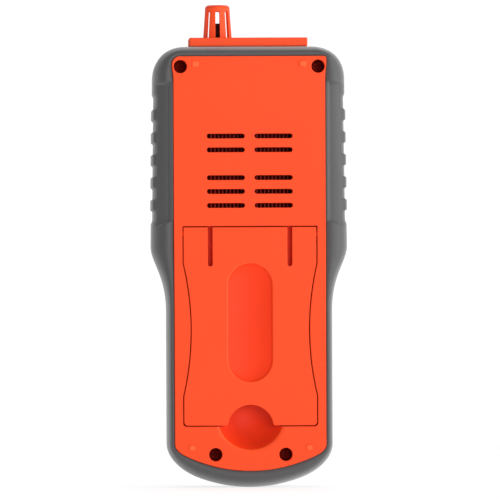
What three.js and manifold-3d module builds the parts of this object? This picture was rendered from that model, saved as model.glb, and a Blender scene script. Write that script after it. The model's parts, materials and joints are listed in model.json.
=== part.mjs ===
// Handheld air quality meter, standing upright: a two-part moulded case in a rubber boot,
// with a fold-out tilt stand on its back and a slotted sensor guard on its top.
// Millimetres. X is the width, the display faces -Y, the stand is on +Y and Z is up.
// The origin is at the lowest point of the foot, under the middle of the meter.
import * as THREE from 'three';
import { mergeVertices } from 'three/addons/utils/BufferGeometryUtils.js';
import Module from 'manifold-3d';

const wasm = await Module();
wasm.setup();

// ---------------------------------------------------------------- driving dimensions
const GAP = 0.3; // left between pieces that touch

const BOOT = {
  top: 176.3, // height of the boot
  cornerReach: 13.4, // how far an upper corner runs along each side
  cornerPull: 0.62, // handle length of that corner, a little squarer than a circle
  shoulderHalf: 38.4, // half width just under the upper corners
  lugHalf: 39.2, // half width at the widest place, above the waist
  lugZ: 96.5,
  waistHalf: 33.1, // half width of the slimmer lower body
  waistZ: 70,
  footZ: 17.5, // where the lower corners start
  rear: 18.5, // Y of the back rim
  front: -18.0, // Y of the front rim
  wallReach: 8, // half depth of the upright side wall, before it rolls over
  wall: 3.0,
};

const GRIP = {
  top: 162.5,
  topEnd: 160.1,
  bottom: 106.1,
  bottomEnd: 102.5,
  sink: 0.6, // how far the side wall sits back between the ribs
  rim: 1.5,
  floorRear: 16.9, // Y of the flat floor of the recess on the back
  ribs: 5,
  ribFirstZ: 148.9,
  ribPitch: 9.0,
  ribHeight: 0.8,
  ribTopHalf: 1.5,
  ribBaseHalf: 2.9,
};

const PANEL = {
  top: 172.2,
  upperHalf: 30.8,
  cornerRadius: 3.5,
  gripHalf: 30.3,
  waistHalf: 30.2,
  bottom: 6.7,
  footHalf: 26.5,
  footZ: 12.95,
  rear: 19.0, // Y of the flat back face, the furthest back
  front: -18.5, // Y of the flat front face
};

const CASE = {
  ledge: 15.0, // Y of the step round each raised panel
  parting: -2.0, // Y where the rear case ends
  skin: 2.0,
  frontInside: -15.5,
};

const STAND = {
  rear: 18.9,
  front: 15.7,
  top: 103.9,
  bottom: 24.8,
  half: 26.5,
  straightEnd: 89.5, // the sides are straight above this height
  waistHalf: 23.4,
  footStart: 36.5, // and below this one
  side: 0.35, // gap to the recess
  topSide: 0.85,
  floor: 15.4, // Y of the recess floor
  floorSkin: 1.8,
  axisY: 16.9,
  axisZ: 101.2,
  pinRadius: 1.15,
  pinReach: 1.5,
  slotX: 15.9,
  slotHalf: 0.975,
  slotBottom: 88.3,
  notchZ: 23.85,
  notchRadius: 9.2,
  dishHalf: 8.86,
  dishLow: 42.2,
  dishHigh: 89.5,
  dishDepth: 2.5,
};

const HINGE_POCKET = { low: 97.5, floor: 13.9 };
const SCOOP = { z: 28.3, radius: 13.6, depth: 8.5 };
const VENT = {
  rows: [140.3, 134.8, 123.7, 118.2, 112.6],
  columnX: 9.55,
  length: 15.2,
  height: 1.9,
};

// The frame behind the vents, which keeps fingers and dust out with its upright ribs
const BAFFLE = {
  half: 20,
  low: 107,
  high: 146,
  rear: 14.4,
  front: 12.6,
  border: 2,
  ribs: 11,
  ribThick: 1.2,
};

const BORE_RADIUS = 2.65;
const SCREWS = [
  { x: 27.5, z: 168.1 },
  { x: -27.5, z: 168.1 },
  { x: 14.0, z: 13.2 },
  { x: -14.0, z: 13.2 },
];
const SCREW = {
  bossRadius: 4.3,
  seat: 9.0, // Y of the shoulder that the head pulls on
  headRadius: 2.4,
  headHeight: 2.2,
  shankRadius: 1.4,
  tip: -9.0,
  shankHole: 1.75,
  driveHalf: 0.4, // half width of the slot in the head
  driveReach: 1.5,
  driveDepth: 1.0,
};

// The meter's top bar with the neck that holds it in the case, and the air inlet through it
const CAP = {
  half: 23.7,
  bottom: 176.6,
  top: 179.9,
  rear: 10,
  front: -12,
  neckHalf: 21.5,
  neckRear: 7.2,
  neckFront: -9.2,
  neckBottom: 169,
  neckWall: 1.5,
  slotXs: [-19, -15.5, -12, -8.5, -5, -1.5],
  slotHalf: 0.8,
  slotRear: 5,
  slotFront: -7,
};

const CAGE = {
  x: 12.1,
  y: -1.0,
  bottom: 174.4,
  top: 193.3,
  baseRadius: 5.8,
  shoulderRadius: 5.1,
  shoulderZ: 190.0,
  wall: 1.0,
  slots: 4, // cuts right through, so twice as many openings
  slotWidth: 1.8,
  slotTop: 190.7,
  seatZ: 179.9,
};

// The sensing element inside the guard, and the small board under it
const SENSOR = { half: 1.9, thick: 1.0, low: 173.4, high: 185.9 };
const SENSOR_BOARD = { half: 5, thick: 0.8, low: 149, high: 173.1 };

const LENS = { half: 27, low: 99.5, high: 166.5, rear: -17.3, front: -18.4, corner: 3 };
const WINDOW = { half: 23.5, low: 105, high: 161 };
const DISPLAY = { half: 24.5, rear: -12, front: -15.2, low: 103.5, high: 157.2 };
const MAT = { z: 61.5, width: 51, height: 64, corner: 3, rear: -12, front: -13.2 };
const KEY = { front: -19.0, flangeFront: -15.2, flangeRear: -14.3, flange: 0.9 };
const KEYS = [
  { name: 'mode_button', x: -17, z: 76, width: 14, height: 9 },
  { name: 'hold_button', x: 17, z: 76, width: 14, height: 9 },
  { name: 'up_button', x: 0, z: 86, width: 14, height: 9 },
  { name: 'down_button', x: 0, z: 66, width: 14, height: 9 },
  { name: 'power_button', x: 0, z: 38, width: 14, height: 14 },
];
const BOARD = { half: 25.5, low: 21, high: 163.5, rear: -10.0, front: -11.6, holeRadius: 1.5 };
const BOARD_SCREWS = [
  { x: 22.5, z: 160 },
  { x: -22.5, z: 160 },
  { x: 22.5, z: 26 },
  { x: -22.5, z: 26 },
];
const BOARD_SCREW = {
  headRadius: 2.3,
  headHeight: 1.4,
  shankRadius: 0.85,
  tip: -14.5,
  postRadius: 2.6,
  pilotRadius: 1.1,
  pilotEnd: -15,
};
const BUZZER = { x: 15, z: 50, radius: 6, rear: -4.5 };
const PROCESSOR = { half: 8, low: 64, high: 80, rear: -7.9 };

const CELL = { radius: 5.15, low: 44, high: 88.2, pitch: 10.6, count: 4, y: 7.4, tip: 1.0, tipRadius: 1.9 };
const TRAY = { half: 23.4, low: 40, high: 95.3, rear: 13.2, front: 0.5, inner: 21.7 };
const TRAY_POCKET = { low: 41.5, high: 91.3, floor: 1.9 };
const CONTACT = { half: 21.3, rear: 11.6, front: 3.2, thick: 0.5, padHalf: 2.6, padReach: 1.7 };
const DOOR = {
  half: 22.0,
  low: 40.8,
  high: 95.4,
  rear: 15.2,
  front: 13.5,
  screwZ: 92.9,
  screwHeadRadius: 1.75,
  screwTip: 7,
  grooveHalf: 7,
  grooveLow: 44,
  grooveHigh: 47,
  grooveDepth: 0.6,
};

const PARTICLE = {
  half: 24,
  low: 108,
  high: 146,
  rear: 12,
  front: -7,
  fanX: 9,
  fanZ: 127,
  intakeXs: [-20, -8],
  intakeZs: [118, 136],
  intakeDepth: 6,
};
const FAN = {
  pocketRadius: 12.5,
  radius: 11.6,
  hubRadius: 4.2,
  blades: 7,
  bladeDepth: 7.5,
  bladeThick: 0.9,
  bladeTurn: 0.6, // radians that each blade is twisted from the axis
  front: 1.0,
  rear: 11.0,
};

// ---------------------------------------------------------------- colours
const COLOURS = {
  orange: [0xff5a33, 0.42, 0],
  boot: [0x5c5b5d, 0.62, 0],
  shell: [0x4a4b4e, 0.55, 0],
  lens: [0x15181b, 0.08, 0],
  keys: [0x8c8f93, 0.5, 0],
  power: [0xe0532e, 0.45, 0],
  black: [0x1c1c1e, 0.6, 0],
  steel: [0xb7babd, 0.3, 1],
  board: [0x1f5a35, 0.5, 0],
  panel: [0xa9b59f, 0.3, 0],
  rubber: [0x303134, 0.8, 0],
  cell: [0x3a5f8a, 0.35, 0.2],
};

// ---------------------------------------------------------------- solids
/** A solid that can be cut and joined, from a closed geometry. */
function solid(geometry) {
  const bare = geometry.clone();
  bare.deleteAttribute('normal');
  bare.deleteAttribute('uv');
  const merged = mergeVertices(bare, 1e-4);
  return new wasm.Manifold(
    new wasm.Mesh({
      numProp: 3,
      vertProperties: new Float32Array(merged.attributes.position.array),
      triVerts: new Uint32Array(merged.index.array),
    }),
  );
}

/** The geometry of a finished solid, with its normals. */
function geometryOf(body) {
  const mesh = body.getMesh();
  const geometry = new THREE.BufferGeometry();
  geometry.setAttribute('position', new THREE.BufferAttribute(mesh.vertProperties, 3));
  geometry.setIndex(new THREE.BufferAttribute(mesh.triVerts, 1));
  geometry.computeVertexNormals();
  return geometry;
}

/** An outline in X and Z, extruded through the depth from rear to front. */
function plate(points, rear, front) {
  const shape = new THREE.Shape(points);
  const geometry = new THREE.ExtrudeGeometry(shape, {
    depth: rear - front,
    bevelEnabled: false,
    curveSegments: 1,
  });
  return solid(geometry.rotateX(Math.PI / 2).translate(0, rear, 0));
}

function block(xs, ys, zs) {
  const geometry = new THREE.BoxGeometry(xs[1] - xs[0], ys[1] - ys[0], zs[1] - zs[0]);
  geometry.translate((xs[0] + xs[1]) / 2, (ys[0] + ys[1]) / 2, (zs[0] + zs[1]) / 2);
  return solid(geometry);
}

/** A round bar along the depth, at x and z. */
function rodY(x, z, radius, rear, front, sides = 20) {
  const geometry = new THREE.CylinderGeometry(radius, radius, rear - front, sides);
  return solid(geometry.translate(x, (rear + front) / 2, z));
}

/** A round bar along the width. */
function rodX(x0, x1, y, z, radius, sides = 16) {
  const geometry = new THREE.CylinderGeometry(radius, radius, x1 - x0, sides);
  return solid(geometry.rotateZ(Math.PI / 2).translate((x0 + x1) / 2, y, z));
}

function ball(x, y, z, radius, around, up) {
  return solid(new THREE.SphereGeometry(radius, around, up).translate(x, y, z));
}

/** A rectangle in X and Z with round corners. */
function roundedRectangle(x, z, width, height, radius, steps = 4) {
  const points = [];
  for (const [sx, sz, start] of [[1, 1, 0], [-1, 1, 1], [-1, -1, 2], [1, -1, 3]]) {
    const cx = x + sx * (width / 2 - radius);
    const cz = z + sz * (height / 2 - radius);
    for (let i = 0; i <= steps; i++) {
      const angle = ((start + i / steps) * Math.PI) / 2;
      points.push(new THREE.Vector2(cx + radius * Math.cos(angle), cz + radius * Math.sin(angle)));
    }
  }
  return points;
}

// ---------------------------------------------------------------- outlines
const at = (x, z) => new THREE.Vector2(x, z);
const line = (a, b) => new THREE.LineCurve(a, b);
const quad = (a, b, c) => new THREE.QuadraticBezierCurve(a, b, c);
const cubic = (a, b, c, d) => new THREE.CubicBezierCurve(a, b, c, d);

function path(...curves) {
  const joined = new THREE.CurvePath();
  curves.forEach((curve) => joined.add(curve));
  return joined;
}

/** Half width of the raised panels at a height on their long sides. */
function panelHalf(z) {
  const span = (z - BOOT.waistZ) / (BOOT.lugZ - BOOT.waistZ);
  return THREE.MathUtils.lerp(PANEL.waistHalf, PANEL.gripHalf, THREE.MathUtils.clamp(span, 0, 1));
}

const cornerZ = BOOT.top - BOOT.cornerReach;
const cornerX = BOOT.shoulderHalf - BOOT.cornerReach;
const pull = BOOT.cornerReach * BOOT.cornerPull;
const panelCornerX = PANEL.upperHalf - PANEL.cornerRadius;
const panelCornerZ = PANEL.top - PANEL.cornerRadius;
const panelPull = PANEL.cornerRadius * 0.55;

// The +X half of both outlines, from the middle of the top to the middle of the bottom.
// Each row is a stretch of the boot's edge, the panel's edge beside it, and the steps taken.
const HALF_OUTLINE = [
  [line(at(0, BOOT.top), at(cornerX, BOOT.top)), line(at(0, PANEL.top), at(panelCornerX, PANEL.top)), 2],
  [
    cubic(
      at(cornerX, BOOT.top),
      at(cornerX + pull, BOOT.top),
      at(BOOT.shoulderHalf, cornerZ + pull),
      at(BOOT.shoulderHalf, cornerZ),
    ),
    path(
      cubic(
        at(panelCornerX, PANEL.top),
        at(panelCornerX + panelPull, PANEL.top),
        at(PANEL.upperHalf, panelCornerZ + panelPull),
        at(PANEL.upperHalf, panelCornerZ),
      ),
      line(at(PANEL.upperHalf, panelCornerZ), at(PANEL.gripHalf, cornerZ)),
    ),
    8,
  ],
  [line(at(BOOT.shoulderHalf, cornerZ), at(BOOT.lugHalf, BOOT.lugZ)), null, 'grip'],
  [
    cubic(at(BOOT.lugHalf, BOOT.lugZ), at(BOOT.lugHalf, 90), at(33, 85), at(BOOT.waistHalf, BOOT.waistZ)),
    null,
    8,
  ],
  [line(at(BOOT.waistHalf, BOOT.waistZ), at(BOOT.waistHalf, BOOT.footZ)), null, 2],
  [
    cubic(at(BOOT.waistHalf, BOOT.footZ), at(BOOT.waistHalf, 11.5), at(27.6, 6.35), at(20, 3.56)),
    path(
      cubic(
        at(PANEL.waistHalf, BOOT.footZ),
        at(PANEL.waistHalf, 15.5),
        at(28.6, 13.8),
        at(PANEL.footHalf, PANEL.footZ),
      ),
      quad(at(PANEL.footHalf, PANEL.footZ), at(23.4, 11.4), at(20, 10.2)),
    ),
    7,
  ],
  [
    quad(at(20, 3.56), at(10.2, 0), at(0, 0)),
    quad(at(20, 10.2), at(10.3, PANEL.bottom), at(0, PANEL.bottom)),
    4,
  ],
];

/** Heights down the grip where its ribs start, crest and end. */
function gripHeights() {
  const heights = [cornerZ, GRIP.top, GRIP.topEnd, 155];
  for (let rib = 0; rib < GRIP.ribs; rib++) {
    const z = GRIP.ribFirstZ - rib * GRIP.ribPitch;
    heights.push(z + GRIP.ribBaseHalf, z + GRIP.ribTopHalf, z - GRIP.ribTopHalf, z - GRIP.ribBaseHalf);
  }
  heights.push(GRIP.bottom, GRIP.bottomEnd);
  return heights;
}

const ribCrest = (z) => {
  const nearest = Math.round((GRIP.ribFirstZ - z) / GRIP.ribPitch);
  const away = Math.abs(z - (GRIP.ribFirstZ - nearest * GRIP.ribPitch));
  const inside = nearest >= 0 && nearest < GRIP.ribs;
  return inside && away < GRIP.ribTopHalf + 0.1 ? 1 : 0;
};

const gripDepth = (z) => (z < GRIP.topEnd + 0.1 && z > GRIP.bottom - 0.1 ? 1 : 0);

/** Places round the whole edge: a point on the boot's outline and one on the panel's. */
function makeStations() {
  const half = [];
  for (const [outerCurve, innerCurve, steps] of HALF_OUTLINE) {
    let shares;
    if (steps === 'grip') {
      shares = gripHeights().map((z) => (cornerZ - z) / (cornerZ - BOOT.lugZ));
    } else {
      shares = Array.from({ length: steps }, (_, i) => i / steps);
    }
    for (const share of shares) {
      const outer = outerCurve.getPoint(share);
      const inner = innerCurve ? innerCurve.getPoint(share) : at(panelHalf(outer.y), outer.y);
      const side = steps === 'grip';
      half.push({
        outer,
        inner,
        grip: side ? gripDepth(outer.y) : 0,
        rib: side ? ribCrest(outer.y) : 0,
        straight: side && share > 0, // the case's outline has no corner here
      });
    }
  }
  half.push({ outer: at(0, 0), inner: at(0, PANEL.bottom), grip: 0, rib: 0 });
  const mirrored = half.slice(1, -1).reverse().map((s) => ({
    ...s,
    outer: at(-s.outer.x, s.outer.y),
    inner: at(-s.inner.x, s.inner.y),
  }));
  return [...half, ...mirrored];
}

const STATIONS = makeStations();
const bandWidth = (station) => station.outer.distanceTo(station.inner);

/** How far the case reaches out beyond the raised panel at a station. */
const caseReach = (station) => Math.max(1.3, bandWidth(station) - BOOT.wall);

/** The point a distance outside the panel's edge, towards the boot's edge. */
function outward(station, reach) {
  const direction = station.outer.clone().sub(station.inner).normalize();
  return station.inner.clone().addScaledVector(direction, reach);
}

/** An outline of the case, a reach outside the raised panel. */
const outline = (reach) => STATIONS.filter((s) => !s.straight).map((s) => outward(s, reach(s)));

// ---------------------------------------------------------------- rubber boot
/** The boot's section at a station: pairs of reach beyond the panel and depth Y. */
function bootSection(station) {
  const band = bandWidth(station);
  const plainRim = Math.min(2, 0.4 * band);
  const lip = 0.35;
  const roll = (turn, face) => {
    const angle = (turn * Math.PI) / 2;
    const reach = plainRim + (band - plainRim) * Math.sin(angle);
    const depth = BOOT.wallReach + (Math.abs(face) - BOOT.wallReach) * Math.cos(angle);
    return [reach, Math.sign(face) * depth];
  };
  const sunk = band - GRIP.sink + GRIP.ribHeight * station.rib;
  const floorDrop = BOOT.rear - GRIP.floorRear;
  const side = (face) => {
    const edge = Math.abs(face);
    const sign = Math.sign(face);
    const plain = [[plainRim, face], roll(0.25, face), roll(0.5, face), roll(0.75, face), roll(1, face)];
    const cut = [
      [GRIP.rim, face],
      [GRIP.rim + 0.5, sign * (edge - floorDrop)],
      [band - 2.4, sign * (edge - floorDrop - 0.1)],
      [band - 1.2 + 0.3 * station.rib, sign * (edge - floorDrop - 1.2)],
      [sunk, sign * 12],
    ];
    return plain.map(([reach, depth], i) => [
      THREE.MathUtils.lerp(reach, cut[i][0], station.grip),
      THREE.MathUtils.lerp(depth, cut[i][1], station.grip),
    ]);
  };
  const wall = THREE.MathUtils.lerp(band, sunk, station.grip);
  const inside = caseReach(station) + GAP;
  return [
    [lip, CASE.ledge + GAP],
    [lip, BOOT.rear],
    ...side(BOOT.rear),
    [wall, 0],
    ...side(BOOT.front).reverse(),
    [lip, BOOT.front],
    [lip, -CASE.ledge - GAP],
    [inside, -CASE.ledge - GAP],
    [inside, CASE.ledge + GAP],
  ];
}

/** A closed ring: one section per station, joined round to the first. */
function ringOf(sections) {
  const rows = sections.length;
  const columns = sections[0].length;
  const triangles = [];
  for (let row = 0; row < rows; row++) {
    for (let column = 0; column < columns; column++) {
      const a = row * columns + column;
      const b = row * columns + ((column + 1) % columns);
      const c = ((row + 1) % rows) * columns + column;
      const d = ((row + 1) % rows) * columns + ((column + 1) % columns);
      triangles.push(a, b, c, b, d, c);
    }
  }
  const geometry = new THREE.BufferGeometry();
  geometry.setAttribute('position', new THREE.Float32BufferAttribute(sections.flat(2), 3));
  geometry.setIndex(triangles);
  return solid(geometry);
}

const neckWindow = () =>
  block(
    [-CAP.neckHalf - 0.4, CAP.neckHalf + 0.4],
    [CAP.neckFront - 0.4, CAP.neckRear + 0.4],
    [CAP.neckBottom - 1, BOOT.top + 1],
  );

function rubberBoot() {
  const sections = STATIONS.map((station) =>
    bootSection(station).map(([reach, depth]) => {
      const point = outward(station, reach);
      return [point.x, depth, point.y];
    }),
  );
  return ringOf(sections).subtract(neckWindow());
}

// ---------------------------------------------------------------- tilt stand
/** The stand's outline, or with a margin the outline of the recess round it. */
function standOutline(margin, topMargin) {
  const half = STAND.half + margin;
  const waist = STAND.waistHalf + margin;
  const middle = (STAND.straightEnd + STAND.footStart) / 2;
  const controlX = 2 * waist - half;
  const sideCurve = quad(at(half, STAND.straightEnd), at(controlX, middle), at(half, STAND.footStart));
  const right = [at(half, STAND.top + topMargin)];
  for (let i = 0; i <= 10; i++) right.push(sideCurve.getPoint(i / 10));
  right.push(at(half, STAND.bottom - margin + 1.4), at(half - 0.41, STAND.bottom - margin + 0.41));
  right.push(at(half - 1.4, STAND.bottom - margin));
  const left = right.map((p) => at(-p.x, p.y)).reverse();
  return [...right, ...left];
}

/** The oval dish pressed in the stand, as the flattened body that it was pressed with. */
function dishCutter() {
  const { dishHalf, dishDepth, dishLow, dishHigh } = STAND;
  const straight = dishHigh - dishLow - 2 * dishHalf;
  const capsule = new THREE.CapsuleGeometry(dishHalf, straight, 8, 32, 1);
  capsule.rotateX(Math.PI / 2);
  capsule.scale(1, dishDepth / dishHalf, 1);
  capsule.translate(0, STAND.rear, (dishLow + dishHigh) / 2);
  return solid(capsule);
}

function tiltStand() {
  const above = STAND.rear + 1;
  const below = STAND.front - 1;
  const notch = rodY(0, STAND.notchZ, STAND.notchRadius, above, below, 40);
  let body = plate(standOutline(0, 0), STAND.rear, STAND.front);
  body = body.subtract(notch).subtract(dishCutter());
  for (const side of [-1, 1]) {
    const slotLow = STAND.slotBottom + STAND.slotHalf;
    const slotXs = [side * STAND.slotX - STAND.slotHalf, side * STAND.slotX + STAND.slotHalf];
    body = body.subtract(block(slotXs, [below, above], [slotLow, STAND.top + 1]));
    body = body.subtract(rodY(side * STAND.slotX, slotLow, STAND.slotHalf, above, below, 12));
    const reach = [STAND.half - 1, STAND.half + STAND.pinReach].map((x) => side * x);
    body = body.add(
      rodX(Math.min(...reach), Math.max(...reach), STAND.axisY, STAND.axisZ, STAND.pinRadius),
    );
  }
  return body;
}

// ---------------------------------------------------------------- case
const scoopRadius = (SCOOP.radius ** 2 + SCOOP.depth ** 2) / (2 * SCOOP.depth);
const scoopBall = (extra, around) =>
  ball(0, PANEL.rear - SCOOP.depth + scoopRadius, SCOOP.z, scoopRadius + extra, around, around * 0.75);

/** The space that a stadium-shaped slot takes through the back. */
function ventSlot(x, z) {
  const slot = roundedRectangle(x, z, VENT.length, VENT.height, VENT.height / 2 - 0.01, 2);
  return plate(slot, PANEL.rear + 1, 15);
}

function rearCase() {
  const panel = outline(() => 0);
  const rim = outline(caseReach);
  let body = plate(rim, CASE.ledge, CASE.parting).add(plate(panel, PANEL.rear, CASE.ledge - 0.1));

  // The inside, less what the stand's recess, the scoop and the screws need
  let inside = plate(outline((s) => caseReach(s) - CASE.skin), CASE.ledge - CASE.skin, CASE.parting - 1);
  const innerLedge = CASE.ledge - CASE.skin - 0.1;
  inside = inside.add(plate(outline(() => -CASE.skin), PANEL.rear - CASE.skin, innerLedge));
  const aroundRecess = standOutline(STAND.side + STAND.floorSkin, STAND.topSide + STAND.floorSkin);
  inside = inside.subtract(plate(aroundRecess, PANEL.rear, STAND.floor - STAND.floorSkin));
  const pocketXs = [-STAND.half - STAND.side, STAND.half + STAND.side];
  const pocketZs = [HINGE_POCKET.low, STAND.top + STAND.topSide];
  inside = inside.subtract(
    block(
      [pocketXs[0] - STAND.floorSkin, pocketXs[1] + STAND.floorSkin],
      [HINGE_POCKET.floor - STAND.floorSkin, PANEL.rear],
      [pocketZs[0] - STAND.floorSkin, pocketZs[1] + STAND.floorSkin],
    ),
  );
  inside = inside.subtract(scoopBall(STAND.floorSkin, 32));
  for (const { x, z } of SCREWS) {
    inside = inside.subtract(rodY(x, z, SCREW.bossRadius, PANEL.rear, CASE.parting - 2));
  }
  body = body.subtract(inside);

  // What is open to the outside
  body = body.subtract(plate(standOutline(STAND.side, STAND.topSide), PANEL.rear + 1, STAND.floor));
  body = body.subtract(block(pocketXs, [HINGE_POCKET.floor, PANEL.rear + 1], pocketZs));
  const socketReach = STAND.half + STAND.pinReach + GAP;
  body = body.subtract(rodX(-socketReach, socketReach, STAND.axisY, STAND.axisZ, STAND.pinRadius + 0.25));
  body = body.subtract(scoopBall(0, 56));
  for (const row of VENT.rows) {
    body = body.subtract(ventSlot(VENT.columnX, row)).subtract(ventSlot(-VENT.columnX, row));
  }
  for (const { x, z } of SCREWS) {
    body = body.subtract(rodY(x, z, BORE_RADIUS, PANEL.rear + 1, SCREW.seat, 24));
    body = body.subtract(rodY(x, z, SCREW.shankHole, SCREW.seat + 1, CASE.parting - 1, 12));
  }
  const doorXs = [-DOOR.half - GAP, DOOR.half + GAP];
  body = body.subtract(block(doorXs, [10, STAND.floor + 1], [DOOR.low - GAP, DOOR.high + GAP]));
  return body.subtract(neckWindow());
}

function ventBaffle() {
  const { half, low, high, rear, front, border, ribs, ribThick } = BAFFLE;
  let body = block([-half, half], [front, rear], [low, high]);
  const pitch = (2 * (half - border) + ribThick) / (ribs + 1);
  for (let gap = 0; gap <= ribs; gap++) {
    const start = -half + border + gap * pitch;
    const xs = [start, start + pitch - ribThick];
    body = body.subtract(block(xs, [front - 1, rear + 1], [low + border, high - border]));
  }
  return body;
}

function keyOutline({ x, z, width, height }, margin) {
  const round = Math.min(width, height) / 2 + margin - 0.01;
  return roundedRectangle(x, z, width + 2 * margin, height + 2 * margin, round, 5);
}

function frontCase() {
  const parting = CASE.parting - GAP;
  let body = plate(outline(caseReach), parting, -CASE.ledge);
  body = body.add(plate(outline(() => 0), -CASE.ledge + 0.1, PANEL.front));

  let inside = plate(outline((s) => caseReach(s) - CASE.skin), parting + 1, -CASE.ledge + CASE.skin);
  inside = inside.add(plate(outline(() => -CASE.skin), -CASE.ledge + CASE.skin + 0.1, CASE.frontInside));
  for (const { x, z } of SCREWS) {
    inside = inside.subtract(rodY(x, z, SCREW.bossRadius - 0.4, parting + 2, PANEL.front));
  }
  for (const { x, z } of BOARD_SCREWS) {
    inside = inside.subtract(rodY(x, z, BOARD_SCREW.postRadius, BOARD.front - GAP, PANEL.front, 12));
  }
  body = body.subtract(inside);

  const lensZ = (LENS.low + LENS.high) / 2;
  const lensHigh = LENS.high - LENS.low + 2 * GAP;
  const lensHole = roundedRectangle(0, lensZ, 2 * (LENS.half + GAP), lensHigh, LENS.corner + GAP);
  body = body.subtract(plate(lensHole, LENS.rear + GAP, PANEL.front - 1));
  const windowXs = [-WINDOW.half, WINDOW.half];
  body = body.subtract(block(windowXs, [PANEL.front - 1, CASE.frontInside + 1], [WINDOW.low, WINDOW.high]));
  for (const key of KEYS) {
    body = body.subtract(plate(keyOutline(key, GAP), CASE.frontInside + 1, PANEL.front - 1));
  }
  for (const { x, z } of SCREWS) {
    body = body.subtract(rodY(x, z, SCREW.shankHole, parting + 1, SCREW.tip - 1, 12));
  }
  for (const { x, z } of BOARD_SCREWS) {
    body = body.subtract(rodY(x, z, BOARD_SCREW.pilotRadius, BOARD.front, BOARD_SCREW.pilotEnd, 8));
  }
  return body.subtract(neckWindow());
}

// ---------------------------------------------------------------- top of the meter
function topCap() {
  const barZs = [CAP.bottom, CAP.top];
  let body = block([-CAP.half, CAP.half], [CAP.front, CAP.rear], barZs);
  const neckXs = [-CAP.neckHalf, CAP.neckHalf];
  body = body.add(block(neckXs, [CAP.neckFront, CAP.neckRear], [CAP.neckBottom, CAP.bottom + 1]));
  const hollow = block(
    [neckXs[0] + CAP.neckWall, neckXs[1] - CAP.neckWall],
    [CAP.neckFront + CAP.neckWall, CAP.neckRear - CAP.neckWall],
    [CAP.neckBottom - 1, CAP.bottom + 1],
  );
  body = body.subtract(hollow);
  const cageHole = new THREE.CylinderGeometry(CAGE.baseRadius + GAP, CAGE.baseRadius + GAP, 8, 32);
  body = body.subtract(solid(cageHole.rotateX(Math.PI / 2).translate(CAGE.x, CAGE.y, CAP.top)));
  for (const x of CAP.slotXs) {
    const slotXs = [x - CAP.slotHalf, x + CAP.slotHalf];
    body = body.subtract(block(slotXs, [CAP.slotFront, CAP.slotRear], [CAP.bottom, CAP.top + 1]));
  }
  return body;
}

/** The guard: a tapered tube with a domed end, cut by upright slots. */
function sensorCage() {
  const { baseRadius, shoulderRadius, shoulderZ, wall, bottom, top, seatZ } = CAGE;
  const domeHeight = top - shoulderZ;
  const dome = (radius, height, steps) =>
    Array.from({ length: steps + 1 }, (_, i) => {
      const angle = (i / steps) * (Math.PI / 2);
      return at(radius * Math.cos(angle) ** 0.7, shoulderZ + height * Math.sin(angle) ** 0.9);
    });
  const outside = [at(baseRadius, bottom), at(baseRadius, seatZ), ...dome(shoulderRadius, domeHeight, 5)];
  const inside = [
    ...dome(shoulderRadius - wall, domeHeight - wall, 4).reverse(),
    at(baseRadius - wall, seatZ),
    at(baseRadius - wall, bottom),
  ];
  outside[outside.length - 1].x = 0;
  inside[0].x = 0;
  const profile = [...inside, ...outside];
  let body = solid(new THREE.LatheGeometry(profile, 24).rotateX(Math.PI / 2));
  const slotHeight = CAGE.slotTop - seatZ - 0.6;
  for (let cut = 0; cut < CAGE.slots; cut++) {
    const slot = new THREE.BoxGeometry(3 * baseRadius, CAGE.slotWidth, slotHeight);
    slot.rotateZ((cut * Math.PI) / CAGE.slots).translate(0, 0, seatZ + 0.6 + slotHeight / 2);
    body = body.subtract(solid(slot));
  }
  return body.translate([CAGE.x, CAGE.y, 0]);
}

/** A flat upright piece in the guard's middle plane. */
const blade = ({ half, thick, low, high }) =>
  block([CAGE.x - half, CAGE.x + half], [CAGE.y - thick, CAGE.y + thick], [low, high]);

// ---------------------------------------------------------------- fasteners
function caseScrew({ x, z }) {
  const headRear = SCREW.seat + GAP + SCREW.headHeight;
  const head = rodY(x, z, SCREW.headRadius, headRear, SCREW.seat + GAP, 16);
  const drive = block(
    [x - SCREW.driveHalf, x + SCREW.driveHalf],
    [headRear - SCREW.driveDepth, headRear + 1],
    [z - SCREW.driveReach, z + SCREW.driveReach],
  );
  const shank = rodY(x, z, SCREW.shankRadius, SCREW.seat + GAP + 0.1, SCREW.tip, 10);
  return head.add(shank).subtract(drive);
}

function boardScrew({ x, z }) {
  const under = BOARD.rear + GAP;
  const head = rodY(x, z, BOARD_SCREW.headRadius, under + BOARD_SCREW.headHeight, under, 12);
  return head.add(rodY(x, z, BOARD_SCREW.shankRadius, under + 0.1, BOARD_SCREW.tip, 8));
}

function doorScrew() {
  const head = rodY(0, DOOR.screwZ, DOOR.screwHeadRadius, DOOR.rear - 0.1, DOOR.front + 0.1, 16);
  return head.add(rodY(0, DOOR.screwZ, 1.0, DOOR.front + 0.2, DOOR.screwTip, 10));
}

// ---------------------------------------------------------------- battery bay
function batteryTray() {
  let body = block([-TRAY.half, TRAY.half], [TRAY.front, TRAY.rear], [TRAY.low, TRAY.high]);
  const pocketZs = [TRAY_POCKET.low, TRAY_POCKET.high];
  body = body.subtract(block([-TRAY.inner, TRAY.inner], [TRAY_POCKET.floor, TRAY.rear + 1], pocketZs));
  return body.subtract(rodY(0, DOOR.screwZ, 1.3, TRAY.rear + 1, 5, 10));
}

function batteryDoor() {
  let body = block([-DOOR.half, DOOR.half], [DOOR.front, DOOR.rear], [DOOR.low, DOOR.high]);
  const screwHole = rodY(0, DOOR.screwZ, DOOR.screwHeadRadius + 0.25, DOOR.rear + 1, DOOR.front - 1, 16);
  const groove = block(
    [-DOOR.grooveHalf, DOOR.grooveHalf],
    [DOOR.rear - DOOR.grooveDepth, DOOR.rear + 1],
    [DOOR.grooveLow, DOOR.grooveHigh],
  );
  return body.subtract(screwHole).subtract(groove);
}

const cellX = (index) => (index - (CELL.count - 1) / 2) * CELL.pitch;

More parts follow.
